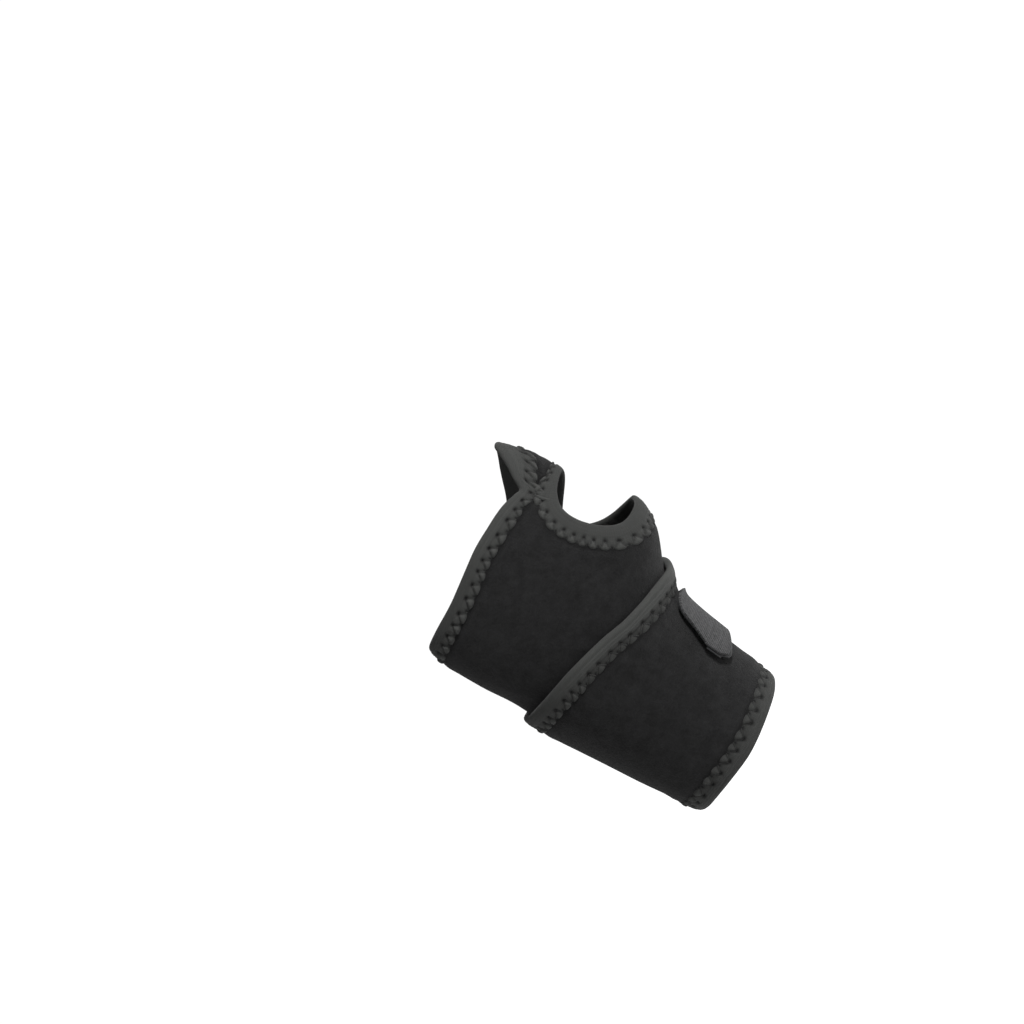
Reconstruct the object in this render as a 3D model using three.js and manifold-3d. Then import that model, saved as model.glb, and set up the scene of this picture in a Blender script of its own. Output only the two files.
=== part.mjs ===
// A soft thumb and wrist splint in the form it takes on a right hand: one neoprene wrap with a thumb
// hole, knitted tape bound over its edges, and a hook tab that closes it. Millimetres. Z runs along the
// wrist with the fingers up, the palm faces -Y and the thumb +X. The origin lies in the middle of the
// wrist at the level of the cuff.
import * as THREE from "three";
import { mergeVertices } from "three/addons/utils/BufferGeometryUtils.js";
import Module from "manifold-3d";

const wasm = await Module();
wasm.setup();

// The wrap
const SPLINT_LENGTH = 107.5; // cuff to the bound edge across the palm
const WRAP_WIDTH = 58; // the last turn, which covers the wrist
const WALL = 2.2; // neoprene with its loop face and its lining
const HEM_WALL = 1.0; // neoprene pressed thin inside the binding
const LAYER_GAP = 0.6; // between one turn of the wrap and the next

// The form inside it
const WRIST_WIDTH = 44;
const WRIST_DEPTH = 36;
const HAND_WIDTH = 77; // little finger side to the root of the thumb
const HAND_DEPTH = 36;
const ROUNDNESS = 2.3; // exponent of a section's outline: 2 is an ellipse

// The thumb hole
const THUMB_HOLE_HEIGHT = 32;
const THUMB_HOLE_TURN = 67; // degrees that the hole takes of the first turn
const THUMB_HOLE_FACES = -0.5; // degrees from the thumb side towards the palm
const BRIDGE_TURN = 26; // where the hole comes nearest to the fingers
const BRIDGE_EASE = 4.4; // neoprene straight up between the two bindings there
const THUMB_HOLE_ROUNDNESS = 2.4;
const THUMB_HOLE_SLANT = 7.5; // how much lower than its middle the hole lies at its palm end
const THUMB_HOLE_DROP = 7.5; // how much its upper side comes down from the bridge towards the back

// The binding
const BINDING_WIDTH = 4.8;
const TAPE_WALL = 0.5;
const TAPE_GAP = 0.22; // between the tape and the neoprene in it
const TAPE_JOIN = 0.4; // beside the end of a length of tape
const HOLE_EASE = 0.3; // between the thumb hole's rim and the neoprene's edge, in the fold of the tape

// The hook tab
const TAB_WALL = 1.0;
const HOOK_WALL = 0.8;
const TAB_GAP = 0.35; // under the tab, and between it and its hook patch
const TAB_WIDTH = 26;
const HOOK_MARGIN = 1.5; // tab that shows past the hook patch on the finger side
const HOOK_PROUD = 1.2; // hook patch that shows past the tab on the cuff side

// Turns of the wrap, in degrees: 0 faces the thumb side, 90 the palm, 180 the little finger and 270 the
// back of the hand.
const FULL_TURN = 360;
const FLAP_END_TURN = -75;
const CLIMB_START_TURN = 250; // the wrap begins to climb over its own flap
const CLIMB_END_TURN = 277;
const STRAP_END_TURN = CLIMB_START_TURN + FULL_TURN;
const TAB_SEWN_TURN = 24; // how much of the tab is sewn to the strap
const HOOK_AFTER_TURN = 40; // from the end of the strap to the hooks
const TAB_START_TURN = STRAP_END_TURN - TAB_SEWN_TURN;
const HOOK_START_TURN = STRAP_END_TURN + HOOK_AFTER_TURN;
const TAB_END_TURN = 755.5;
const HOOK_END_TURN = TAB_END_TURN - 1;

// Facets
const LARGEST_TURN = 10; // degrees from one row to the next
const LARGEST_STEP = 7.8; // millimetres
const LARGEST_FACE_TURN = 16; // degrees that the wrap's face turns by
const TAB_STEP_TURN = 6; // degrees
const TAB_CROWDING = 1.6; // above 1, the tab's rows lie closer together towards its tip
const HOLE_STEPS = 40;
const SLOPE_TURN = 0.2; // degrees over which a slope of the form is measured
const SLOPE_HEIGHT = 0.2; // millimetres over which it is measured

const NEOPRENE = new THREE.MeshStandardMaterial({ color: 0x222222, roughness: 0.95, metalness: 0 });
const BINDING = new THREE.MeshStandardMaterial({ color: 0x3b3b3a, roughness: 0.9, metalness: 0 });
const WEBBING = new THREE.MeshStandardMaterial({ color: 0x585858, roughness: 0.8, metalness: 0 });
const HOOK = new THREE.MeshStandardMaterial({ color: 0x2a2a2a, roughness: 0.6, metalness: 0 });

// How the wall is shared out under the binding, measured up from the wrap's inner face.
const HEM_LOW = TAPE_WALL + TAPE_GAP;
const HEM_HIGH = HEM_LOW + HEM_WALL;
const TAPE_TOP = HEM_HIGH + TAPE_GAP + TAPE_WALL;
const TAPE_NOSE = TAPE_GAP + TAPE_WALL; // how far a binding stands past the edge in it
const LAYER_STEP = Math.max(WALL, TAPE_TOP) + LAYER_GAP;

// Level sections of the form. Heights are shares of SPLINT_LENGTH. The reaches to the four sides, measured
// from a line up the middle of the wrist, are shares of the row's width and depth, and so is the lean of
// the thumb side towards the palm. The taper is how much thinner than the middle the thumb side is.
const wrist = { width: WRIST_WIDTH, depth: WRIST_DEPTH };
const hand = { width: HAND_WIDTH, depth: HAND_DEPTH };
const SECTIONS = [
  { height: -0.08, size: wrist, ulnar: 0.45, thumb: 0.46, palm: 0.44, back: 0.46, lean: 0.0, taper: 0.0 },
  { height: 0.02, size: wrist, ulnar: 0.495, thumb: 0.49, palm: 0.47, back: 0.47, lean: 0.0, taper: 0.0 },
  { height: 0.09, size: wrist, ulnar: 0.507, thumb: 0.52, palm: 0.49, back: 0.48, lean: 0.0, taper: 0.0 },
  { height: 0.2, size: wrist, ulnar: 0.532, thumb: 0.555, palm: 0.5, back: 0.5, lean: 0.0, taper: 0.0 },
  { height: 0.35, size: wrist, ulnar: 0.555, thumb: 0.615, palm: 0.53, back: 0.5, lean: 0.02, taper: 0.02 },
  { height: 0.41, size: wrist, ulnar: 0.565, thumb: 0.675, palm: 0.55, back: 0.5, lean: 0.03, taper: 0.04 },
  { height: 0.48, size: hand, ulnar: 0.33, thumb: 0.485, palm: 0.56, back: 0.5, lean: 0.06, taper: 0.08 },
  { height: 0.56, size: hand, ulnar: 0.33, thumb: 0.615, palm: 0.58, back: 0.5, lean: 0.1, taper: 0.12 },
  { height: 0.66, size: hand, ulnar: 0.325, thumb: 0.693, palm: 0.57, back: 0.5, lean: 0.1, taper: 0.18 },
  { height: 0.78, size: hand, ulnar: 0.335, thumb: 0.67, palm: 0.52, back: 0.48, lean: 0.05, taper: 0.28 },
  { height: 0.92, size: hand, ulnar: 0.33, thumb: 0.635, palm: 0.46, back: 0.45, lean: 0.0, taper: 0.38 },
  { height: 1.02, size: hand, ulnar: 0.29, thumb: 0.63, palm: 0.43, back: 0.43, lean: -0.04, taper: 0.38 },
  { height: 1.14, size: hand, ulnar: 0.28, thumb: 0.59, palm: 0.4, back: 0.42, lean: -0.06, taper: 0.36 },
];

// The wrap's two long edges, by turn. Heights are shares of the size named in the row.
const length = SPLINT_LENGTH;
const width = WRAP_WIDTH;
const FINGER_EDGE = [
  { turn: -75, height: 0.9, of: length },
  { turn: -55, height: 0.945, of: length },
  { turn: -35, height: 1.01, of: length },
  { turn: -18, height: 1.085, of: length },
  { turn: -5, height: 1.122, of: length },
  { turn: 6, height: 1.125, of: length },
  { turn: 12, height: 1.096, of: length },
  { turn: 19, height: 1.052, of: length },
  { turn: 24, height: 1.018, of: length },
  { turn: 28, height: 0.985, of: length },
  { turn: 32, height: 0.99, of: length },
  { turn: 38, height: 1.0, of: length },
  { turn: 46, height: 1.0065, of: length },
  { turn: 60, height: 1.01, of: length },
  { turn: 100, height: 1.01, of: length },
  { turn: 140, height: 0.992, of: length },
  { turn: 180, height: 0.975, of: length },
  { turn: 215, height: 0.95, of: length },
  { turn: 240, height: 0.91, of: length },
  { turn: 262, height: 0.84, of: length },
  { turn: 285, height: 0.74, of: length },
  { turn: 310, height: 0.625, of: length },
  { turn: 335, height: 0.99, of: width },
  { turn: 360, height: 0.91, of: width },
  { turn: 380, height: 0.9, of: width },
  { turn: 420, height: 0.93, of: width },
  { turn: 450, height: 0.98, of: width },
  { turn: 490, height: 1.04, of: width },
  { turn: 520, height: 1.09, of: width },
  { turn: 545, height: 1.11, of: width },
  { turn: 575, height: 1.04, of: width },
  { turn: 598, height: 0.93, of: width },
  { turn: 610, height: 0.84, of: width },
];
const CUFF_EDGE = [
  { turn: -75, height: 0.13, of: length },
  { turn: 0, height: 0.09, of: length },
  { turn: 90, height: 0.06, of: length },
  { turn: 180, height: 0.06, of: length },
  { turn: 250, height: 0.05, of: length },
  { turn: 310, height: 0.02, of: length },
  { turn: 350, height: 0.0, of: length },
  { turn: 380, height: -0.01, of: length },
  { turn: 420, height: -0.03, of: length },
  { turn: 455, height: -0.035, of: length },
  { turn: 500, height: -0.022, of: length },
  { turn: 540, height: -0.012, of: length },
  { turn: 580, height: 0.02, of: length },
  { turn: 600, height: 0.08, of: length },
  { turn: 610, height: 0.13, of: length },
];

// The hook tab's outline: heights of its two sides at a turn, as shares of TAB_WIDTH from its middle line.
const TAB_MIDDLE = 0.585; // share of WRAP_WIDTH
const TAB_OUTLINE = [
  { turn: 586, low: -0.6, high: 0.4 },
  { turn: 655, low: -0.6, high: 0.4 },
  { turn: 700, low: -0.54, high: 0.43 },
  { turn: 722, low: -0.48, high: 0.46 },
  { turn: 732, low: -0.51, high: 0.49 },
  { turn: 740, low: -0.555, high: 0.49 },
  { turn: 745, low: -0.58, high: 0.4 },
  { turn: 749.5, low: -0.6, high: 0.06 },
  { turn: 753, low: -0.58, high: -0.14 },
  { turn: 755.5, low: -0.48, high: -0.24 },
];

const degrees = THREE.MathUtils.degToRad;

// A smooth curve through (places[i], values[i]), level beyond its ends.
function curveThrough(places, values) {
  const last = places.length - 1;
  const slopes = values.map((_, i) => {
    if (i === 0 || i === last) return 0;
    return (values[i + 1] - values[i - 1]) / (places[i + 1] - places[i - 1]);
  });
  return (place) => {
    const at = THREE.MathUtils.clamp(place, places[0], places[last]);
    let i = 0;
    while (i < last - 1 && at > places[i + 1]) i += 1;
    const span = places[i + 1] - places[i];
    const s = (at - places[i]) / span;
    const rest = 1 - s;
    return (
      rest * rest * (1 + 2 * s) * values[i] +
      s * s * (3 - 2 * s) * values[i + 1] +
      span * s * rest * (rest * slopes[i] - s * slopes[i + 1])
    );
  };
}

function sectionCurve(value) {
  return curveThrough(SECTIONS.map((row) => row.height * SPLINT_LENGTH), SECTIONS.map(value));
}
const sections = {
  ulnar: sectionCurve((row) => row.ulnar * row.size.width),
  thumb: sectionCurve((row) => row.thumb * row.size.width),
  palm: sectionCurve((row) => row.palm * row.size.depth),
  back: sectionCurve((row) => row.back * row.size.depth),
  lean: sectionCurve((row) => row.lean * row.size.depth),
  taper: sectionCurve((row) => row.taper),
};

function edgeCurve(table) {
  return curveThrough(table.map((row) => row.turn), table.map((row) => row.height * row.of));
}
const fingerEdge = edgeCurve(FINGER_EDGE);
const cuffEdge = edgeCurve(CUFF_EDGE);

// The point of the form at a turn and a height.
function formPoint(turn, height) {
  const cos = Math.cos(degrees(turn));
  const sin = Math.sin(degrees(turn));
  const ulnar = sections.ulnar(height);
  const thumb = sections.thumb(height);
  const middle = (thumb - ulnar) / 2;
  const halfWidth = (thumb + ulnar) / 2;
  const halfDepth = sin > 0 ? sections.palm(height) : sections.back(height);
  const spread = Math.abs(cos / halfWidth) ** ROUNDNESS + Math.abs(sin / halfDepth) ** ROUNDNESS;
  const reach = spread ** (-1 / ROUNDNESS);
  const thumbward = Math.max(0, (reach * cos) / halfWidth) ** 2;
  const depth = reach * sin * (1 - sections.taper(height) * thumbward) + sections.lean(height) * thumbward;
  return new THREE.Vector3(middle + reach * cos, -depth, height);
}

// The point that lies `lift` off the form where it is at that turn and height.
function onForm(turn, height, lift) {
  const point = formPoint(turn, height);
  const around = formPoint(turn + SLOPE_TURN, height).sub(formPoint(turn - SLOPE_TURN, height));
  const up = formPoint(turn, height + SLOPE_HEIGHT).sub(formPoint(turn, height - SLOPE_HEIGHT));
  return point.addScaledVector(up.cross(around).normalize(), lift);
}

// The same for the wrap, whose last turn lies on its first.
function onWrap(turn, height, lift) {
  const climbed = THREE.MathUtils.smoothstep(turn, CLIMB_START_TURN, CLIMB_END_TURN);
  return onForm(turn, height, LAYER_STEP * climbed + lift);
}

// The turn and height reached by going `distance` over the wrap from a place, in the direction `heading`.
function walk(place, heading, distance) {
  const STEPS = 4;
  const NUDGE = 0.2;
  let { turn, height } = place;
  const stride = distance / STEPS;
  for (let i = 0; i < STEPS; i += 1) {
    const here = onWrap(turn, height, 0);
    const perTurn = onWrap(turn + NUDGE, height, 0).sub(here).divideScalar(NUDGE);
    const perHeight = onWrap(turn, height + NUDGE, 0).sub(here).divideScalar(NUDGE);
    const aa = perTurn.dot(perTurn);
    const ab = perTurn.dot(perHeight);
    const bb = perHeight.dot(perHeight);
    const va = heading.dot(perTurn);
    const vb = heading.dot(perHeight);
    const area = aa * bb - ab * ab;
    turn += (stride * (va * bb - vb * ab)) / area;
    height += (stride * (vb * aa - va * ab)) / area;
  }
  return { turn, height };
}

// The fastest that anything changes by the degree at a turn, over both long edges and two lines between.
function fastest(change) {
  const middle = (t) => (fingerEdge(t) + cuffEdge(t)) / 2;
  const upper = (t) => (3 * fingerEdge(t) + cuffEdge(t)) / 4;
  return Math.max(...[fingerEdge, upper, middle, cuffEdge].map(change));
}

// Turns from one to another, close together where the wrap bends or runs flat for long.
function turnsBetween(from, to) {
  const faceAt = (turn, height) => onForm(turn, height, 1).sub(formPoint(turn, height));
  const turns = [from];
  let turn = from;
  while (turn < to) {
    const next = turn + 1;
    const travel = fastest((line) =>
      onWrap(next, line(next), WALL).distanceTo(onWrap(turn, line(turn), WALL)),
    );
    const bend = fastest((line) => faceAt(next, line(next)).angleTo(faceAt(turn, line(turn))));
    turn += Math.min(LARGEST_TURN, LARGEST_STEP / travel, degrees(LARGEST_FACE_TURN) / bend);
    turns.push(turn);
  }
  const stretch = (to - from) / (turns[turns.length - 1] - from);
  return turns.map((t) => from + (t - from) * stretch);
}

// A wall between two grids of points, outer[row][column] and inner[row][column], closed into a ring if asked.
function wallBetween(outer, inner, ring = false) {
  const rows = outer.length;
  const columns = outer[0].length;
  const points = [...outer.flat(), ...inner.flat()];
  const outerAt = (i, j) => (i % rows) * columns + j;
  const innerAt = (i, j) => rows * columns + outerAt(i, j);
  const faces = [];
  const quad = (a, b, c, d) => faces.push(a, b, c, a, c, d);
  const top = columns - 1;
  const end = rows - 1;
  for (let i = 0; i < (ring ? rows : end); i += 1) {
    for (let j = 0; j < top; j += 1) {
      quad(outerAt(i, j), outerAt(i, j + 1), outerAt(i + 1, j + 1), outerAt(i + 1, j));
      quad(innerAt(i, j), innerAt(i + 1, j), innerAt(i + 1, j + 1), innerAt(i, j + 1));
    }
    quad(outerAt(i, 0), outerAt(i + 1, 0), innerAt(i + 1, 0), innerAt(i, 0));
    quad(outerAt(i, top), innerAt(i, top), innerAt(i + 1, top), outerAt(i + 1, top));
  }
  for (let j = 0; j < top && !ring; j += 1) {
    quad(outerAt(0, j), innerAt(0, j), innerAt(0, j + 1), outerAt(0, j + 1));
    quad(outerAt(end, j), outerAt(end, j + 1), innerAt(end, j + 1), innerAt(end, j));
  }
  const geometry = new THREE.BufferGeometry().setFromPoints(points);
  geometry.setIndex(faces);
  return geometry;
}

// A solid of a closed geometry, turned face out if it is inside out.
function toSolid(geometry) {
  const merged = mergeVertices(geometry, 1e-4);
  const index = merged.getIndex().array;
  const solidOf = (order) => {
    const faces = [];
    for (let i = 0; i < index.length; i += 3) {
      const corners = order.map((corner) => index[i + corner]);
      if (new Set(corners).size === corners.length) faces.push(...corners);
    }
    return new wasm.Manifold(
      new wasm.Mesh({
        numProp: 3,
        vertProperties: merged.getAttribute("position").array,
        triVerts: new Uint32Array(faces),
      }),
    );
  };
  const solid = solidOf([0, 1, 2]);
  return solid.volume() > 0 ? solid : solidOf([0, 2, 1]);
}

function namedMesh(name, solid, material) {
  const { vertProperties, triVerts } = solid.getMesh();
  const geometry = new THREE.BufferGeometry();
  geometry.setAttribute("position", new THREE.BufferAttribute(vertProperties, 3));
  geometry.setIndex(new THREE.BufferAttribute(triVerts, 1));
  geometry.computeVertexNormals();
  const mesh = new THREE.Mesh(geometry, material);
  mesh.name = name;
  return mesh;
}

// The neoprene wall. Its rows are turns and its columns heights: close together at the hems, where it is
// pressed thin.
const HEM = BINDING_WIDTH + TAPE_JOIN;
const HEM_SLOPE = 1; // length over which the neoprene comes up to its full wall
const HAND_SHARES = [0, 0.15, 0.25, 0.32, 0.38, 0.44, 0.52, 0.62, 0.78, 1];
const STRAP_SHARES = [0, 0.15, 0.3, 0.45, 0.58, 0.7, 0.8, 0.88, 0.94, 1];
const SHARES_CHANGE = [215, 310]; // turns between which the columns go over from the one to the other

function turnsPerLength(turn) {
  const height = (fingerEdge(turn) + cuffEdge(turn)) / 2;
  return 1 / onWrap(turn + 1, height, 0).distanceTo(onWrap(turn, height, 0));
}
const FLAP_TURNS = turnsPerLength(FLAP_END_TURN);
const STRAP_TURNS = turnsPerLength(STRAP_END_TURN);
const FIELD_TURNS = turnsBetween(
  FLAP_END_TURN + (HEM + HEM_SLOPE) * FLAP_TURNS,
  STRAP_END_TURN - (HEM + HEM_SLOPE) * STRAP_TURNS,
);
const INNER_TURNS = [FLAP_END_TURN + HEM * FLAP_TURNS, ...FIELD_TURNS, STRAP_END_TURN - HEM * STRAP_TURNS];

// The change of height for each length that one goes in from a slanting edge, square to it.
function slant(edge, turn) {
  const way = onWrap(turn + 1, edge(turn + 1), 0).sub(onWrap(turn - 1, edge(turn - 1), 0)).normalize();
  const below = onWrap(turn, edge(turn) - SLOPE_HEIGHT, 0);
  const up = onWrap(turn, edge(turn) + SLOPE_HEIGHT, 0).sub(below).divideScalar(2 * SLOPE_HEIGHT);
  return 1 / up.cross(way).length();
}

function columnsAt(turn) {
  const low = cuffEdge(turn);
  const high = fingerEdge(turn);
  const lowSlant = slant(cuffEdge, turn);
  const highSlant = slant(fingerEdge, turn);
  const from = low + (HEM + HEM_SLOPE) * lowSlant;
  const to = high - (HEM + HEM_SLOPE) * highSlant;
  const onStrap = THREE.MathUtils.smoothstep(turn, ...SHARES_CHANGE);
  const shares = HAND_SHARES.map((share, i) => THREE.MathUtils.lerp(share, STRAP_SHARES[i], onStrap));
  return [
    { height: low, hem: true },
    { height: low + HEM * lowSlant, hem: true },
    ...shares.map((share) => ({ height: from + share * (to - from), hem: false })),
    { height: high - HEM * highSlant, hem: true },
    { height: high, hem: true },
  ];
}

function neopreneWall() {
  const ends = new Set([FLAP_END_TURN, STRAP_END_TURN, INNER_TURNS[0], INNER_TURNS[INNER_TURNS.length - 1]]);
  const grid = (thin, full) =>
    [FLAP_END_TURN, ...INNER_TURNS, STRAP_END_TURN].map((turn) =>
      columnsAt(turn).map(({ height, hem }) => onWrap(turn, height, hem || ends.has(turn) ? thin : full)),
    );
  return toSolid(wallBetween(grid(HEM_HIGH, WALL), grid(HEM_LOW, 0)));
}

// Tape folded over an edge of `count` places. placeAt(i, inset) is the turn and height that lies `inset` in
// from place i. Both faces of the tape run from the end of its outer leg round the edge to the end of its
// inner leg, with the legs in pieces that end at the insets in `leg`.
function foldedTape(count, placeAt, leg = [BINDING_WIDTH], ring = false) {
  const faceThrough = (outerLift, innerLift, nose, fold) => [
    ...leg.map((inset) => ({ inset, lift: outerLift })),
    { inset: fold, lift: outerLift },
    { inset: nose, lift: TAPE_TOP / 2 },
    { inset: fold, lift: innerLift },
    ...[...leg].reverse().map((inset) => ({ inset, lift: innerLift })),
  ];
  const face = (profile) =>
    Array.from({ length: count }, (_, i) =>
      profile.map(({ inset, lift }) => {
        const { turn, height } = placeAt(i, inset);
        return onWrap(turn, height, lift);
      }),
    );
  const outside = faceThrough(TAPE_TOP, 0, -TAPE_NOSE, -TAPE_GAP);
  const inside = faceThrough(HEM_HIGH + TAPE_GAP, TAPE_WALL, -TAPE_GAP, -TAPE_GAP / 2);
  return toSolid(wallBetween(face(outside), face(inside), ring));
}

function longEdgeTape(edge, inward) {
  return foldedTape(INNER_TURNS.length, (i, inset) => {
    const turn = INNER_TURNS[i];
    return { turn, height: edge(turn) + inward * inset * slant(edge, turn) };
  });
}

function endTape(end, turnsInward) {
  const heights = columnsAt(end).map((column) => column.height);
  return foldedTape(heights.length, (i, inset) => {
    const turn = end + inset * turnsInward;
    return { turn, height: columnsAt(turn)[i].height };
  });
}

// The thumb hole's rim, which leaves room for two bindings below the finger edge.
const BRIDGE = 2 * BINDING_WIDTH + TAPE_JOIN + BRIDGE_EASE;
const ROUND = 2 / THUMB_HOLE_ROUNDNESS;
const BRIDGE_SHARE = (2 * (BRIDGE_TURN - THUMB_HOLE_FACES)) / THUMB_HOLE_TURN;
const BRIDGE_RISE = (1 - BRIDGE_SHARE ** THUMB_HOLE_ROUNDNESS) ** (1 / THUMB_HOLE_ROUNDNESS);
const HOLE_TOP = fingerEdge(BRIDGE_TURN) - BRIDGE + BRIDGE_SHARE * THUMB_HOLE_SLANT;
const HOLE_HEIGHT = HOLE_TOP - (BRIDGE_RISE * THUMB_HOLE_HEIGHT) / 2;
const HOLE_RIM = Array.from({ length: HOLE_STEPS }, (_, i) => {
  const angle = (2 * Math.PI * i) / HOLE_STEPS;
  const bulge = (value) => Math.sign(value) * Math.abs(value) ** ROUND;
  const across = bulge(Math.cos(angle));
  const rise = bulge(Math.sin(angle));
  const slanted = THUMB_HOLE_SLANT * Math.max(0, across);
  const dropped = THUMB_HOLE_DROP * Math.max(0, rise) * (BRIDGE_SHARE - across);
  return {
    turn: THUMB_HOLE_FACES + (THUMB_HOLE_TURN / 2) * across,
    height: HOLE_HEIGHT + (THUMB_HOLE_HEIGHT / 2) * rise - slanted - dropped,
  };
});

// The place that lies `inset` out from the rim into the wrap.
function besideHole(i, inset) {
  const place = HOLE_RIM[i];
  const before = HOLE_RIM[(i + HOLE_STEPS - 1) % HOLE_STEPS];
  const after = HOLE_RIM[(i + 1) % HOLE_STEPS];
  const way = formPoint(after.turn, after.height).sub(formPoint(before.turn, before.height)).normalize();
  const out = onForm(place.turn, place.height, 1).sub(formPoint(place.turn, place.height));
  return walk(place, out.cross(way), inset);
}

function holeTape() {
  return foldedTape(HOLE_STEPS, besideHole, [BINDING_WIDTH, BINDING_WIDTH / 2], true);
}

// What the thumb hole takes out of the neoprene: the hole, and a seat for its binding on either face.
function holeCutters() {
  const CLEAR = 2;
  const ringOf = (lines, lift) =>
    HOLE_RIM.map((_, i) =>
      lines.map((placeOf) => {
        const { turn, height } = placeOf(i);
        return onWrap(turn, height, lift);
      }),
    );
  const fromMiddle = [0, 0.4, 0.75].map((share) => (i) => ({
    turn: THUMB_HOLE_FACES + share * (HOLE_RIM[i].turn - THUMB_HOLE_FACES),
    height: HOLE_HEIGHT + share * (HOLE_RIM[i].height - HOLE_HEIGHT),
  }));
  const hole = [...fromMiddle, (i) => besideHole(i, HOLE_EASE)];
  const insets = [-1, 0, BINDING_WIDTH / 2, BINDING_WIDTH, HEM];
  const lowerSeat = insets.map((inset) => (i) => besideHole(i, inset));
  const upperSeat = [...lowerSeat].reverse();
  const cutter = (lines, low, high) => toSolid(wallBetween(ringOf(lines, high), ringOf(lines, low), true));
  return [
    cutter(hole, -CLEAR, WALL + CLEAR),
    cutter(upperSeat, HEM_HIGH, WALL + CLEAR),
    cutter(lowerSeat, -CLEAR, HEM_LOW),
  ];
}

// The hook tab lies on the last turn, and steps up over its own hook patch.
const TAB_SEAT = LAYER_STEP + TAPE_TOP + TAB_GAP;
const HOOK_STEP = HOOK_WALL + TAB_GAP;
const TAB_RISE_TURN = 14; // degrees over which the tab steps up

function tabSide(side) {
  const curve = curveThrough(TAB_OUTLINE.map((row) => row.turn), TAB_OUTLINE.map((row) => row[side]));
  return (turn) => TAB_MIDDLE * WRAP_WIDTH + TAB_WIDTH * curve(turn);
}

// A flat piece in the tab's outline: `cuffward` past its side towards the cuff, `fingerward` short of its
// other side.
function tabPiece(from, to, cuffward, fingerward, liftAt, wall) {
  const low = tabSide("low");
  const high = tabSide("high");
  const ACROSS = [0, 0.3, 0.55, 0.8, 1];
  const count = Math.ceil((to - from) / TAB_STEP_TURN) + 1;
  const face = (extra) =>
    Array.from({ length: count }, (_, i) => {
      const turn = to - (to - from) * (1 - i / (count - 1)) ** TAB_CROWDING;
      const heights = ACROSS.map((share) =>
        THREE.MathUtils.lerp(low(turn) - cuffward, high(turn) - fingerward, share),
      );
      return heights.map((height) => onForm(turn, height, TAB_SEAT + liftAt(turn) + extra));
    });
  return toSolid(wallBetween(face(wall), face(0)));
}

const parts = new THREE.Group();
const neoprene = holeCutters().reduce((solid, cutter) => solid.subtract(cutter), neopreneWall());
parts.add(namedMesh("neoprene_wrap", neoprene, NEOPRENE));
parts.add(namedMesh("finger_edge_binding", longEdgeTape(fingerEdge, -1), BINDING));
parts.add(namedMesh("cuff_edge_binding", longEdgeTape(cuffEdge, 1), BINDING));
parts.add(namedMesh("flap_end_binding", endTape(FLAP_END_TURN, FLAP_TURNS), BINDING));
parts.add(namedMesh("strap_end_binding", endTape(STRAP_END_TURN, -STRAP_TURNS), BINDING));
parts.add(namedMesh("thumb_hole_binding", holeTape(), BINDING));
const tabRise = (turn) =>
  HOOK_STEP * THREE.MathUtils.smoothstep(turn, HOOK_START_TURN - TAB_RISE_TURN, HOOK_START_TURN);
parts.add(namedMesh("hook_tab", tabPiece(TAB_START_TURN, TAB_END_TURN, 0, 0, tabRise, TAB_WALL), WEBBING));
const hookPatch = tabPiece(HOOK_START_TURN, HOOK_END_TURN, HOOK_PROUD, HOOK_MARGIN, () => 0, HOOK_WALL);
parts.add(namedMesh("hook_patch", hookPatch, HOOK));

export default parts;
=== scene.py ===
import math

import bpy
import numpy as np
from mathutils import Matrix, Vector, noise


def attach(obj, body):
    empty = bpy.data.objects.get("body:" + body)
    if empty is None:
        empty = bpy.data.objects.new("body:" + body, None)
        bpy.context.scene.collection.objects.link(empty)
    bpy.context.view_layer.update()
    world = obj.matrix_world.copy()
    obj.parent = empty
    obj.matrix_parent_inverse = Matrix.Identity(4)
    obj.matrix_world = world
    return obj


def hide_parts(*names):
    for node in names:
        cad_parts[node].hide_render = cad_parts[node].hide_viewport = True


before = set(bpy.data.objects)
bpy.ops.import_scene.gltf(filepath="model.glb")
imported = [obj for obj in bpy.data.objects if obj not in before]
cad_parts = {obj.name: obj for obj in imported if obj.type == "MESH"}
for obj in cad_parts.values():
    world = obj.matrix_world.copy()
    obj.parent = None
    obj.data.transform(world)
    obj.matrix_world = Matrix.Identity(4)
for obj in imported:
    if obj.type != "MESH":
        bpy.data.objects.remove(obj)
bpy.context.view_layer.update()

bl_info = {
    "name": "Thumb and wrist splint",
    "version": (1, 0, 0),
    "blender": (4, 5, 0),
    "location": "View3D > Sidebar > Splint",
    "description": "Makes a neoprene wrist wrap with bound edges, zigzag seams and a hook tab",
    "category": "Add Mesh",
}

MM = 0.001

# The form that the wrap lies on, as in the part's source. Z runs up the wrist to the fingers, the palm
# faces -Y and the thumb +X. Turns are in degrees: 0 is the thumb's side, 90 the palm, 180 the little finger.
LENGTH = 107.5 * MM
WIDTH = 58 * MM
WRIST = (44 * MM, 36 * MM)
HAND = (77 * MM, 36 * MM)
ROUNDNESS = 2.3
WALL = 2.2 * MM
TAPE_TOP = 2.44 * MM
TAPE_NOSE = 0.72 * MM
LAYER_STEP = 3.04 * MM
FLAP_END, CLIMB_START, CLIMB_END, STRAP_START, STRAP_END = -75, 250, 277, 335, 610

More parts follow.
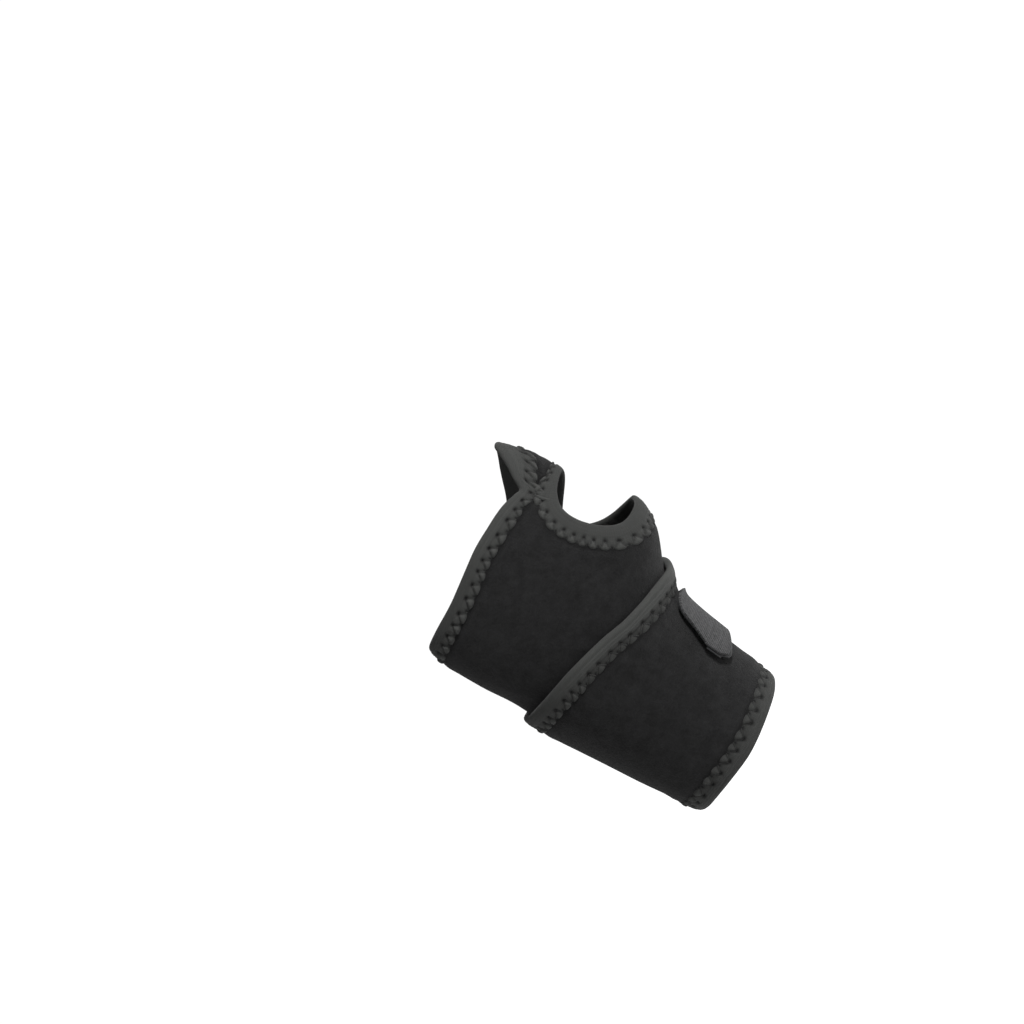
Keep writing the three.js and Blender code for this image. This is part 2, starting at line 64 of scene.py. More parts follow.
# height as a share of LENGTH, (width, depth), then shares of these: the reach to the little finger, thumb,
# palm and back, and the lean and taper of the thumb's side
SECTIONS = (
    (-0.08, WRIST, 0.45, 0.46, 0.44, 0.46, 0.0, 0.0),
    (0.02, WRIST, 0.495, 0.49, 0.47, 0.47, 0.0, 0.0),
    (0.09, WRIST, 0.507, 0.52, 0.49, 0.48, 0.0, 0.0),
    (0.2, WRIST, 0.532, 0.555, 0.5, 0.5, 0.0, 0.0),
    (0.35, WRIST, 0.555, 0.615, 0.53, 0.5, 0.02, 0.02),
    (0.41, WRIST, 0.565, 0.675, 0.55, 0.5, 0.03, 0.04),
    (0.48, HAND, 0.33, 0.485, 0.56, 0.5, 0.06, 0.08),
    (0.56, HAND, 0.33, 0.615, 0.58, 0.5, 0.1, 0.12),
    (0.66, HAND, 0.325, 0.693, 0.57, 0.5, 0.1, 0.18),
    (0.78, HAND, 0.335, 0.67, 0.52, 0.48, 0.05, 0.28),
    (0.92, HAND, 0.33, 0.635, 0.46, 0.45, 0.0, 0.38),
    (1.02, HAND, 0.29, 0.63, 0.43, 0.43, -0.04, 0.38),
    (1.14, HAND, 0.28, 0.59, 0.4, 0.42, -0.06, 0.36),
)
# turn, height as a share of LENGTH before STRAP_START and of WIDTH from there on
FINGER_EDGE = (
    (-75, 0.9), (-55, 0.945), (-35, 1.01), (-18, 1.085), (-5, 1.122), (6, 1.125), (12, 1.096), (19, 1.052),
    (24, 1.018), (28, 0.985), (32, 0.99), (38, 1.0), (46, 1.0065), (60, 1.01), (100, 1.01), (140, 0.992),
    (180, 0.975), (215, 0.95), (240, 0.91), (262, 0.84), (285, 0.74), (310, 0.625), (335, 0.99), (360, 0.91),
    (380, 0.9), (420, 0.93), (450, 0.98), (490, 1.04), (520, 1.09), (545, 1.11), (575, 1.04), (598, 0.93),
    (610, 0.84),
)
# turn, height as a share of LENGTH
CUFF_EDGE = (
    (-75, 0.13), (0, 0.09), (90, 0.06), (180, 0.06), (250, 0.05), (310, 0.02), (350, 0.0), (380, -0.01),
    (420, -0.03), (455, -0.035), (500, -0.022), (540, -0.012), (580, 0.02), (600, 0.08), (610, 0.13),
)

HOLE_TALL, HOLE_TURN, HOLE_FACES = 32 * MM, 67, -0.5
HOLE_ROUNDNESS, HOLE_SLANT, HOLE_DROP = 2.4, 7.5 * MM, 7.5 * MM
HOLE_REACH = 62  # degrees to each side of its middle that the hole's tape stays within
BRIDGE_TURN, BRIDGE = 26, 14.4 * MM

TAB_WIDTH, TAB_MIDDLE = 26 * MM, 0.585 * WIDTH
TAB_START, HOOK_START, TAB_END = 586, 650, 755.5
TAB_WALL, HOOK_WALL, TAB_GAP = 1.0 * MM, 0.8 * MM, 0.35 * MM
TAB_SEAT = LAYER_STEP + TAPE_TOP + TAB_GAP
TIP_START, TIP_LIFT = 735, 0.7 * MM
HOOK_BASE_WALL = 0.55 * MM
# turn, cuff side, finger side as shares of TAB_WIDTH from the tab's middle line
TAB_OUTLINE = (
    (586, -0.55, 0.34), (588, -0.585, 0.385), (591, -0.6, 0.4), (655, -0.6, 0.4), (700, -0.54, 0.43),
    (722, -0.48, 0.46), (732, -0.51, 0.49), (740, -0.555, 0.49), (745, -0.58, 0.4), (749.5, -0.6, 0.06),
    (753, -0.58, -0.14), (755.5, -0.48, -0.24),
)


def curve_through(rows, column=1):
    """A smooth curve through the rows' first and given column, level beyond its ends."""
    places = np.array([row[0] for row in rows], float)
    values = np.array([row[column] for row in rows], float)
    slopes = np.zeros_like(values)
    slopes[1:-1] = (values[2:] - values[:-2]) / (places[2:] - places[:-2])

    def curve(place):
        at = np.clip(place, places[0], places[-1])
        i = np.clip(np.searchsorted(places, at, side="right") - 1, 0, len(places) - 2)
        span = places[i + 1] - places[i]
        s = (at - places[i]) / span
        rest = 1 - s
        return (
            rest * rest * (1 + 2 * s) * values[i]
            + s * s * (3 - 2 * s) * values[i + 1]
            + span * s * rest * (rest * slopes[i] - s * slopes[i + 1])
        )

    return curve


def section_curve(column, size_column=None):
    rows = []
    for row in SECTIONS:
        size = 1 if size_column is None else row[1][size_column]
        rows.append((row[0] * LENGTH, row[column] * size))
    return curve_through(rows)


ULNAR, THUMB = section_curve(2, 0), section_curve(3, 0)
PALM, BACK, LEAN = section_curve(4, 1), section_curve(5, 1), section_curve(6, 1)
TAPER = section_curve(7)
finger_edge = curve_through(
    [(turn, share * (LENGTH if turn < STRAP_START else WIDTH)) for turn, share in FINGER_EDGE])
cuff_edge = curve_through([(turn, share * LENGTH) for turn, share in CUFF_EDGE])


def smoothstep(low, high, value):
    t = np.clip((value - low) / (high - low), 0, 1)
    return t * t * (3 - 2 * t)


def bell(value, middle, spread):
    return np.exp(-(((value - middle) / spread) ** 2))


def form_point(turn, height):
    """The point of the form at a turn and a height."""
    cos, sin = np.cos(np.radians(turn)), np.sin(np.radians(turn))
    middle = (THUMB(height) - ULNAR(height)) / 2
    half_width = (THUMB(height) + ULNAR(height)) / 2
    half_depth = np.where(sin > 0, PALM(height), BACK(height))
    spread = np.abs(cos / half_width) ** ROUNDNESS + np.abs(sin / half_depth) ** ROUNDNESS
    reach = spread ** (-1 / ROUNDNESS)
    thumbward = np.maximum(0, reach * cos / half_width) ** 2
    depth = reach * sin * (1 - TAPER(height) * thumbward) + LEAN(height) * thumbward
    return np.stack(np.broadcast_arrays(middle + reach * cos, -depth, height), axis=-1)


def unit(vectors):
    return vectors / np.maximum(np.linalg.norm(vectors, axis=-1, keepdims=True), 1e-12)


def face_out(turn, height):
    """The form's outward direction at a turn and a height."""
    around = form_point(turn + 0.2, height) - form_point(turn - 0.2, height)
    up = form_point(turn, height + 0.2 * MM) - form_point(turn, height - 0.2 * MM)
    return unit(np.cross(up, around))


def on_form(turn, height, lift):
    turn, height, lift = np.broadcast_arrays(np.asarray(turn, float), height, lift)
    return form_point(turn, height) + face_out(turn, height) * lift[..., None]


def on_wrap(turn, height, lift):
    """The same for the wrap, whose last turn lies on its first."""
    return on_form(turn, height, LAYER_STEP * smoothstep(CLIMB_START, CLIMB_END, turn) + lift)


def slant(edge, turn):
    """The change of height for each length that one goes in from a slanting edge, square to it."""
    way = unit(on_wrap(turn + 1, edge(turn + 1), 0) - on_wrap(turn - 1, edge(turn - 1), 0))
    up = (on_wrap(turn, edge(turn) + 0.5 * MM, 0) - on_wrap(turn, edge(turn) - 0.5 * MM, 0)) / MM
    return 1 / np.linalg.norm(np.cross(up, way), axis=-1)


def walk(turn, height, heading, distance, steps=5):
    """The places reached by going a distance over the wrap in the direction heading."""
    turn, height, distance = np.broadcast_arrays(turn, height, distance)
    stride = distance / steps
    for _ in range(steps):
        here = on_wrap(turn, height, 0)
        per_turn = (on_wrap(turn + 0.2, height, 0) - here) / 0.2
        per_height = (on_wrap(turn, height + 0.2 * MM, 0) - here) / (0.2 * MM)
        aa, ab, bb = (per_turn**2).sum(-1), (per_turn * per_height).sum(-1), (per_height**2).sum(-1)
        va, vb = (heading * per_turn).sum(-1), (heading * per_height).sum(-1)
        area = aa * bb - ab * ab
        turn = turn + stride * (va * bb - vb * ab) / area
        height = height + stride * (vb * aa - va * ab) / area
    return turn, height


def bulge(value):
    return np.sign(value) * np.abs(value) ** (2 / HOLE_ROUNDNESS)


BRIDGE_SHARE = 2 * (BRIDGE_TURN - HOLE_FACES) / HOLE_TURN
BRIDGE_RISE = (1 - BRIDGE_SHARE**HOLE_ROUNDNESS) ** (1 / HOLE_ROUNDNESS)
HOLE_HEIGHT = (
    float(finger_edge(BRIDGE_TURN)) - BRIDGE + BRIDGE_SHARE * HOLE_SLANT - BRIDGE_RISE * HOLE_TALL / 2
)


def hole_rim(angle):
    """The turn and height of the thumb hole's rim at an angle about its middle."""
    across, rise = bulge(np.cos(angle)), bulge(np.sin(angle))
    dropped = HOLE_DROP * np.maximum(0, rise) * (BRIDGE_SHARE - across)
    height = HOLE_HEIGHT + HOLE_TALL / 2 * rise - HOLE_SLANT * np.maximum(0, across) - dropped
    return HOLE_FACES + HOLE_TURN / 2 * across, height


def in_hole(turn, height):
    across = (turn - HOLE_FACES) / (HOLE_TURN / 2)
    above = height - HOLE_HEIGHT + HOLE_SLANT * np.maximum(0, across)
    rise = above / (HOLE_TALL / 2 - HOLE_DROP * (BRIDGE_SHARE - across) * (above > 0))
    return np.abs(across) ** HOLE_ROUNDNESS + np.abs(rise) ** HOLE_ROUNDNESS < 1


def lengths_along(points):
    """The distance along a row of points, from the first."""
    return np.concatenate([[0], np.cumsum(np.linalg.norm(np.diff(points, axis=0), axis=1))])


def evenly(values, points, spacing):
    """The values at places that lie evenly along the points, and the distances of those places."""
    along = lengths_along(points)
    count = max(2, int(round(along[-1] / spacing)) + 1)
    places = np.linspace(0, along[-1], count)
    return np.interp(places, along, values), places


def unevenness(points, scale, seed):
    """Smooth seeded noise at each point, from about -1 to 1."""
    shift = Vector((seed * 3.7, seed * 1.3, seed * 2.9))
    flat = points.reshape(-1, 3) * scale
    return np.array([noise.noise(Vector(p) + shift) for p in flat]).reshape(points.shape[:-1])


def new_piece(name, points, faces, material, uv=None, inner=None, inner_faces=0, dent=None):
    """A mesh object of its own at the origin. The last inner_faces faces take the inner material."""
    mesh = bpy.data.meshes.new(name)
    mesh.from_pydata(points.tolist(), [], faces)
    mesh.materials.append(material)
    if inner is not None:
        mesh.materials.append(inner)
        marks = np.zeros(len(faces), np.int32)
        marks[len(faces) - inner_faces:] = 1
        mesh.polygons.foreach_set("material_index", marks)
    if uv is not None:
        layer = mesh.uv_layers.new(name="cloth")
        corners = np.zeros(len(mesh.loops), np.int32)
        mesh.loops.foreach_get("vertex_index", corners)
        layer.data.foreach_set("uv", uv[corners].astype(np.float32).ravel())
    # painted shade and painted highlight, per point, which the materials scale their colour by
    if dent is not None:
        mesh.attributes.new("dent", "FLOAT", "POINT").data.foreach_set("value", dent.astype(np.float32))
    mesh.update()
    piece = bpy.data.objects.new(name, mesh)
    bpy.context.scene.collection.objects.link(piece)
    mesh.polygons.foreach_set("use_smooth", np.ones(len(mesh.polygons), bool))
    return piece


def shell(name, outer, inner, uv, material, inner_material=None, keep=None, ring=False, dent=None):
    """A closed wall between two grids of points, by row and column, less the cells that aren't kept."""
    rows, columns = outer.shape[:2]
    last = rows if ring else rows - 1
    i, j = np.meshgrid(np.arange(last), np.arange(columns - 1), indexing="ij")
    if keep is not None:
        i, j = i[keep], j[keep]
    i, j = i.ravel(), j.ravel()
    here, following = i * columns + j, (i + 1) % rows * columns + j
    cells = np.stack([here, here + 1, following + 1, following], 1)
    count = rows * columns
    starts, ends = cells.ravel(), np.roll(cells, -1, axis=1).ravel()
    used = set((starts * count + ends).tolist())
    rim = [(a, b) for a, b in zip(starts.tolist(), ends.tolist()) if b * count + a not in used]
    walls = [[b, a, a + count, b + count] for a, b in rim]
    backs = (cells[:, ::-1] + count).tolist()
    faces = cells.tolist() + walls + backs
    points = np.concatenate([outer.reshape(-1, 3), inner.reshape(-1, 3)])
    flat = np.concatenate([uv.reshape(-1, 2)] * 2)
    used_points = np.unique(np.concatenate([cells.ravel(), cells.ravel() + count]))
    renumber = np.zeros(2 * count, int)
    renumber[used_points] = np.arange(len(used_points))
    faces = [[int(renumber[p]) for p in face] for face in faces]
    if dent is not None:
        dent = np.tile(dent.ravel(), 2)[used_points]
    return new_piece(
        name, points[used_points], faces, material, flat[used_points], inner_material, len(backs), dent
    )


def choose(piece):
    """Makes the piece the only selected object, and the active one."""
    bpy.ops.object.select_all(action="DESELECT")
    bpy.context.view_layer.objects.active = piece
    piece.select_set(True)


def face_outwards(piece):
    """Recalculates the normals of a closed piece in edit mode."""
    choose(piece)
    bpy.ops.object.mode_set(mode="EDIT")
    bpy.ops.mesh.select_all(action="SELECT")
    bpy.ops.mesh.normals_make_consistent(inside=False)
    bpy.ops.object.mode_set(mode="OBJECT")


# Sizes and colours that a user changes

def length_setting(name, description, default, low, high):
    return bpy.props.FloatProperty(
        name=name, description=description, default=default, min=low, max=high, subtype="DISTANCE",
        unit="LENGTH", precision=5)


def colour_setting(name, description, default):
    return bpy.props.FloatVectorProperty(
        name=name, description=description, subtype="COLOR", size=3, min=0, max=1, default=default)


class SplintSizes(bpy.types.PropertyGroup):
    tape_wall: length_setting(
        "Tape thickness", "Thickness of the binding tape", 0.34 * MM, 0.1 * MM, 0.6 * MM)
    band: length_setting(
        "Smooth band", "Width of the tape between the edge and the stitches", 3.6 * MM, 1 * MM, 6 * MM)
    hole_band: length_setting(
        "Smooth band at the thumb hole", "The same round the thumb hole", 5.0 * MM, 1 * MM, 6 * MM)
    zigzag: length_setting("Zigzag width", "Width of the zigzag seam", 3.1 * MM, 1 * MM, 4 * MM)
    pitch: length_setting(
        "Zigzag pitch", "Length of one full zigzag along the edge", 4.7 * MM, 1.5 * MM, 8 * MM)
    pillow: length_setting(
        "Pillow height", "How far the tape stands up between two stitches", 1.05 * MM, 0, 1.4 * MM)
    thread: length_setting("Thread", "Thickness of the sewing thread", 0.3 * MM, 0.1 * MM, 0.6 * MM)
    puff: length_setting(
        "Puff beside the seam", "How far the neoprene swells beside a seam", 0.3 * MM, 0, 0.6 * MM)
    ripple: length_setting(
        "Ripple", "Height of the shallow folds in the neoprene", 0.16 * MM, 0, 0.3 * MM)
    floor_drop: length_setting(
        "Floor", "How far the floor lies below the cuff", 220 * MM, 0, 1000 * MM)


class SplintColours(bpy.types.PropertyGroup):
    neoprene: colour_setting("Neoprene", "Loop face of the wrap", (0.0070, 0.0070, 0.0072))
    lining: colour_setting("Lining", "Knitted face that lies on the skin", (0.0175, 0.0176, 0.0180))
    tape: colour_setting("Binding", "Tape bound over the edges", (0.0243, 0.0249, 0.0238))
    thread: colour_setting("Thread", "Sewing thread", (0.012, 0.0123, 0.0117))
    webbing: colour_setting("Tab", "Woven back of the hook tab", (0.038, 0.038, 0.039))
    hooks: colour_setting("Hooks", "Nylon hooks and their base", (0.016, 0.016, 0.017))


# Materials

class Nodes:
    """Short names for the nodes of one material."""

    def __init__(self, name, rough, specular=0.2, sheen=0.0, sheen_rough=0.5):
        self.material = bpy.data.materials.new(name)
        self.material.use_nodes = True
        self.tree = self.material.node_tree
        self.shader = self.tree.nodes["Principled BSDF"]
        self.shader.inputs["Roughness"].default_value = rough
        self.shader.inputs["Specular IOR Level"].default_value = specular
        self.shader.inputs["Sheen Weight"].default_value = sheen
        self.shader.inputs["Sheen Roughness"].default_value = sheen_rough

    def add(self, kind, inputs=(), **settings):
        node = self.tree.nodes.new(kind)
        for name, value in settings.items():
            setattr(node, name, value)
        for socket, value in dict(inputs).items():
            if isinstance(value, bpy.types.NodeSocket):
                self.tree.links.new(value, node.inputs[socket])
            else:
                node.inputs[socket].default_value = value
        return node

    def place(self, output, stretch=(1, 1, 1)):
        coords = self.add("ShaderNodeTexCoord").outputs[output]
        return self.add("ShaderNodeMapping", {"Vector": coords, "Scale": stretch}).outputs[0]

    def noise(self, vector, scale, detail=3.0, distortion=0.0):
        return self.add(
            "ShaderNodeTexNoise",
            {"Vector": vector, "Scale": scale, "Detail": detail, "Roughness": 0.6, "Distortion": distortion},
        ).outputs[0]

    def math(self, operation, a, b=0.0):
        return self.add("ShaderNodeMath", {0: a, 1: b}, operation=operation).outputs[0]

    def total(self, *parts):
        """The sum of the parts, each a value and its weight."""
        whole = 0.0
        for value, weight in parts:
            whole = self.math("ADD", whole, self.math("MULTIPLY", value, weight))
        return whole

    def ramp(self, value, low, high, to_low=0.0, to_high=1.0):
        return self.add(
            "ShaderNodeMapRange",
            {"Value": value, "From Min": low, "From Max": high, "To Min": to_low, "To Max": to_high},
        ).outputs[0]

    def shade(self, colour, value, dark, light, painted_shading_weight=0.0):
        """The colour times a factor that runs from dark to light with the value; the attribute lowers it
        with painted shade where above zero and raises it with painted highlight where below.
        """
        factor = self.ramp(value, 0.0, 1.0, dark, light)
        if painted_shading_weight:
            # painted shade where the attribute is above zero, painted highlight where it is below
            dent = self.add("ShaderNodeAttribute", attribute_name="dent").outputs["Fac"]
            kept = self.math("SUBTRACT", 1.0, self.math("MULTIPLY", dent, painted_shading_weight))
            factor = self.math("MULTIPLY", factor, kept)
        mixed = self.add("ShaderNodeVectorMath", {0: (*colour,), 3: factor}, operation="SCALE").outputs[0]
        self.tree.links.new(mixed, self.shader.inputs["Base Color"])

    def bump(self, height, depth, strength=1.0, below=None):
        inputs = {"Height": height, "Distance": depth, "Strength": strength}
        if below is not None:
            inputs["Normal"] = below
        normal = self.add("ShaderNodeBump", inputs).outputs[0]
        self.tree.links.new(normal, self.shader.inputs["Normal"])
        return normal

    def wave(self, coordinate, pitch):
        """From 0 to 1 and back once in each pitch of a coordinate in metres."""
        sine = self.math("SINE", self.math("MULTIPLY", coordinate, math.tau / pitch))
        return self.ramp(sine, -1.0, 1.0)


def loop_face(colour):
    n = Nodes("loop_faced_neoprene", 0.95, 0.12, 0.055, 0.6)
    place = n.place("Object")
    fuzz = n.noise(place, 2600, 4, 0.6)
    tufts = n.noise(place, 900, 3, 1.2)
    blotches = n.noise(place, 240, 3)
    worn = n.noise(place, 22, 2)
    tone = n.total((fuzz, 0.11), (tufts, 0.33), (blotches, 0.36), (worn, 0.2))
    # the attribute darkens the neoprene with painted shade in a line beside each seam
    n.shade(colour, n.ramp(tone, 0.38, 0.62), 0.4, 1.6, 0.75)
    low = n.bump(blotches, 0.6 * MM, 0.35)
    n.bump(n.math("ADD", fuzz, tufts), 0.3 * MM, 0.9, low)
    return n.material


def knit(name, colour, wale, course, depth, rough=0.9, specular=0.15, contrast=(0.7, 1.25), painted_shading_weight=0.0):
    """A knitted face on the UV map, whose wales run along V."""
    n = Nodes(name, rough, specular, 0.05, 0.5)
    split = n.add("ShaderNodeSeparateXYZ", {0: n.place("UV")})
    across, along = split.outputs[0], split.outputs[1]
    share = n.math("FRACT", n.math("DIVIDE", across, wale))
    leg = n.math("ABSOLUTE", n.math("SUBTRACT", share, 0.5))
    vee = n.math("ADD", along, n.math("MULTIPLY", leg, course * 1.1))
    rows = n.wave(vee, course)
    gutter = n.ramp(leg, 0.5, 0.28)
    fuzz = n.noise(n.place("Object"), 2400, 3, 0.4)
    stitches = n.math("MULTIPLY", n.ramp(rows, 0.0, 1.0, 0.55, 1.0), gutter)
    height = n.total((stitches, 1.0), (fuzz, 0.5))
    # the colour follows the stitches' height: painted shade in the gutters between wales and in the low rows
    tone = n.total((height, 0.5), (n.noise(n.place("Object"), 70, 2), 0.4))
    n.shade(colour, n.ramp(tone, 0.2, 0.9), *contrast, painted_shading_weight)
    n.bump(height, depth, 0.6)
    return n.material


def twisted_thread(colour):
    n = Nodes("sewing_thread", 0.7, 0.3, 0.05)
    ply = n.noise(n.place("Object", (1, 1, 0.4)), 3800, 2)
    n.shade(colour, ply, 0.6, 1.5)
    n.bump(ply, 0.08 * MM, 0.6)
    return n.material


def woven_tab(colour):
    n = Nodes("woven_tab_back", 0.82, 0.25, 0.05, 0.4)
    split = n.add("ShaderNodeSeparateXYZ", {0: n.place("UV")})
    pitch = 0.62 * MM
    warp, weft = n.wave(split.outputs[0], pitch), n.wave(split.outputs[1], pitch)
    twill = n.wave(n.math("ADD", split.outputs[0], split.outputs[1]), pitch * 2)
    under = n.math("SUBTRACT", 1.0, twill)
    over = n.math("MAXIMUM", n.math("MULTIPLY", warp, twill), n.math("MULTIPLY", weft, under))
    fuzz = n.noise(n.place("Object"), 1300, 3, 0.5)
    streaks = n.noise(n.place("UV", (12, 900, 1)), 1.0, 2)
    # the colour follows the weave's height: painted shade where a thread lies under another
    tone = n.total((over, 0.3), (fuzz, 0.5), (streaks, 0.2))
    n.shade(colour, n.ramp(tone, 0.36, 0.62), 0.35, 1.7)
    n.bump(n.total((over, 1.0), (fuzz, 0.5)), 0.18 * MM, 0.8)
    return n.material


def nylon(colour):
    n = Nodes("hook_nylon", 0.5, 0.4)
    grain = n.noise(n.place("Object"), 1500, 3)
    n.shade(colour, grain, 0.7, 1.5)
    n.bump(grain, 0.1 * MM, 0.4)
    return n.material


def finish(name):
    """The finish of that name, made once."""
    made = bpy.data.materials.get(name)
    if made is not None:
        return made
    colours = bpy.context.scene.splint_colours
    makers = {
        "loop_faced_neoprene": lambda: loop_face(colours.neoprene),
        "knitted_lining": lambda: knit("knitted_lining", colours.lining, 1.1 * MM, 0.9 * MM, 0.16 * MM),
        # the tape's colour takes painted shade and painted highlight from its attribute
        "knitted_tape": lambda: knit(
            "knitted_tape", colours.tape, 0.55 * MM, 0.6 * MM, 0.1 * MM, 0.85, 0.2, (0.75, 1.25), 0.85),
        "sewing_thread": lambda: twisted_thread(colours.thread),
        "woven_tab_back": lambda: woven_tab(colours.webbing),
        "hook_nylon": lambda: nylon(colours.hooks),
    }
    return makers[name]()


# The wrap

WRAP_ROWS, MIDDLE_COLUMNS = 596, 50
HEM_DOWN, HEM_UP = 0.48 * MM, 0.62 * MM  # how far the binding presses the wrap's outer and inner face
PUFF_PLACE, PUFF_SPREAD = 2.6 * MM, 2.2 * MM  # from the seam, on the side away from the edge
# the dark line is painted shade in the neoprene's colour
SHADE_LINE_HALF_WIDTH = 0.7 * MM  # half the width of the dark line where the wrap goes under the binding
RIM_GAP = 1.2 * MM  # between the hole's rim and the wrap's first cells
# the grid's lines beside each long edge, closer together where the hem steps down
EDGE_LINES = np.array([0.4, 2.2, 3.4, 4.4, 5.2, 5.9, 6.6, 7.4, 8.3, 9.5, 11, 13]) * MM


def rim_places(spacing):
    """Even places along the thumb hole's rim, the way along it and their distances. None is there twice."""
    angles = np.linspace(0, math.tau, 721)
    points = on_wrap(*hole_rim(angles), TAPE_TOP / 2)
    along = lengths_along(points)
    count = int(round(along[-1] / spacing))
    places = np.arange(count) * along[-1] / count
    angle = np.interp(places, along, angles)
    turn, height = hole_rim(angle)
    ahead, behind = on_wrap(*hole_rim(angle + 0.01), 0), on_wrap(*hole_rim(angle - 0.01), 0)
    return turn, height, unit(ahead - behind), places


def nearest(points, others):
    """The distance from each point to the nearest of the others."""
    flat = points.reshape(-1, 3)
    found = np.empty(len(flat))
    for start in range(0, len(flat), 4000):
        part = flat[start:start + 4000]
        found[start:start + 4000] = np.sqrt(((part[:, None] - others[None]) ** 2).sum(-1)).min(1)
    return found.reshape(points.shape[:-1])


def seam_share(turn):
    """The width of the finger edge's seam against its full width: wide at the bridge, narrow beside it."""
    return 1 + 0.75 * bell(turn, BRIDGE_TURN - 1, 4.5) - 0.3 * bell(turn, BRIDGE_TURN + 9, 5.5)


def band_share(turn):
    """The same for the smooth band: narrow at the bridge, and wide on the flap and on the strap."""
    bridge = 0.3 * bell(turn, BRIDGE_TURN + 2, 9)
    flap = 0.75 * smoothstep(24, 14, turn) * smoothstep(-16, 0, turn)
    return 1 - bridge + flap + 0.2 * smoothstep(300, 350, turn)


def hole_share(turn, height):
    """The same for the tape round the thumb hole, which is narrower at the bridge and above the thumb."""
    upper = smoothstep(HOLE_HEIGHT - 2 * MM, HOLE_HEIGHT + 0.4 * HOLE_TALL, height)
    bridge = 0.25 * bell(turn, BRIDGE_TURN + 7, 8)
    return 1 - upper * (bridge + 0.55 * smoothstep(24, 12, turn))


def crowding(turn, height):
    """How near a place is to the bridge, where the seams crowd and the tape wrinkles, from 0 to 1."""
    return bell(turn, BRIDGE_TURN - 3, 11) * smoothstep(HOLE_HEIGHT, HOLE_HEIGHT + HOLE_TALL / 2, height)


def wrap_grid():
    """Turns and heights of the wrap's grid, and how far each is from the nearest long edge or end."""
    turns = np.linspace(FLAP_END + 0.45, STRAP_END - 0.45, WRAP_ROWS)
    low, high = cuff_edge(turns), finger_edge(turns)
    low_slant, high_slant = slant(cuff_edge, turns), slant(finger_edge, turns)
    room = np.minimum(1, 0.46 * (high - low) / (EDGE_LINES[-1] * np.maximum(low_slant, high_slant)))
    from_low = low[:, None] + EDGE_LINES * (low_slant * room)[:, None]
    from_high = high[:, None] - EDGE_LINES[::-1] * (high_slant * room)[:, None]
    share = np.linspace(0, 1, MIDDLE_COLUMNS)[1:-1]
    middle = from_low[:, -1:] + share * (from_high[:, :1] - from_low[:, -1:])
    heights = np.concatenate([from_low, middle, from_high], axis=1)
    to_low = (heights - low[:, None]) / low_slant[:, None]
    to_high = (high[:, None] - heights) / high_slant[:, None]
    turn = np.broadcast_to(turns[:, None], heights.shape)
    around = np.linalg.norm(on_wrap(turn + 0.5, heights, 0) - on_wrap(turn - 0.5, heights, 0), axis=-1)
    to_end = np.minimum(turn - FLAP_END, STRAP_END - turn) * around
    return turn, heights, np.minimum(to_low, to_high), to_end


def pressed(distance, width, sizes):
    """How far the outer face is off its full height, at a distance from an edge with a seam that wide."""
    down = HEM_DOWN * (1 - smoothstep(width - sizes.zigzag - 0.4 * MM, width + 0.5 * MM, distance))
    return sizes.puff * bell(distance, width + PUFF_PLACE, PUFF_SPREAD) - down


def near_hole(turn):
    return np.abs(turn - HOLE_FACES) < HOLE_REACH


def make_wrap(sizes):
    """The wrap and the width, length and area of the flat piece that it was cut to."""
    turn, height, to_edge, to_end = wrap_grid()
    middle = on_wrap(turn, height, WALL / 2)
    rim = on_wrap(*hole_rim(np.linspace(0, math.tau, 240)), WALL / 2)
    to_hole = np.full(turn.shape, 1.0)
    to_hole[near_hole(turn)] = nearest(middle[near_hole(turn)], rim)
    fingerward = height > (cuff_edge(turn) + finger_edge(turn)) / 2
    band = sizes.band * np.where(fingerward, band_share(turn), 1)
    seams = [
        (to_edge, band + sizes.zigzag * seam_share(turn)),
        (to_end, sizes.band + sizes.zigzag),
        (to_hole, (sizes.hole_band + sizes.zigzag) * hole_share(turn, height)),
    ]
    lifts = [pressed(distance, width, sizes) for distance, width in seams]
    change = np.minimum.reduce(lifts)
    change = np.where(change >= 0, np.maximum.reduce(lifts), change)
    to_any = np.minimum(np.minimum(to_edge, to_end), to_hole)
    folds = unevenness(middle, 55, 1) * 0.6 + unevenness(middle * (1, 1, 0.45), 120, 2) * 0.4
    lift = WALL + change + sizes.ripple * smoothstep(3.5 * MM, 8 * MM, to_any) * folds
    lift = lift + crowding(turn, height) * 0.25 * MM * unevenness(middle, 330, 5)
    inner_lift = HEM_UP * (1 - smoothstep(4.4 * MM, 6.6 * MM, to_any))
    # painted shade: a dark line in the neoprene's colour beside each seam, where it goes under the binding
    painted_shade_line = np.maximum.reduce([bell(distance, width, SHADE_LINE_HALF_WIDTH) for distance, width in seams])
    centre_turn, centre_height, centre = [
        (values[1:, 1:] + values[:-1, :-1]) / 2 for values in (turn, height, middle)]
    beside = near_hole(centre_turn)
    gone = np.zeros(centre_turn.shape, bool)
    gone[beside] = in_hole(centre_turn[beside], centre_height[beside])
    gone[beside] |= nearest(centre[beside], rim) < RIM_GAP
    turns = turn[:, 0]
    line = on_wrap(turns, (cuff_edge(turns) + finger_edge(turns)) / 2, 0)
    uv = np.stack([np.broadcast_to(lengths_along(line)[:, None], turn.shape), height], axis=-1)
    piece = shell(
        "wrap", on_wrap(turn, height, lift), on_wrap(turn, height, inner_lift), uv,
        finish("loop_faced_neoprene"), finish("knitted_lining"), ~gone, dent=painted_shade_line)
    flat_length = float(uv[-1, 0, 0])
    flat_width = float((finger_edge(turns) - cuff_edge(turns)).max())
    corner, ahead, beyond = middle[:-1, :-1], middle[1:, :-1], middle[:-1, 1:]
    cell = np.linalg.norm(np.cross(ahead - corner, beyond - corner), axis=-1)
    return piece, flat_width, flat_length, float(cell[~gone].sum())


# The binding

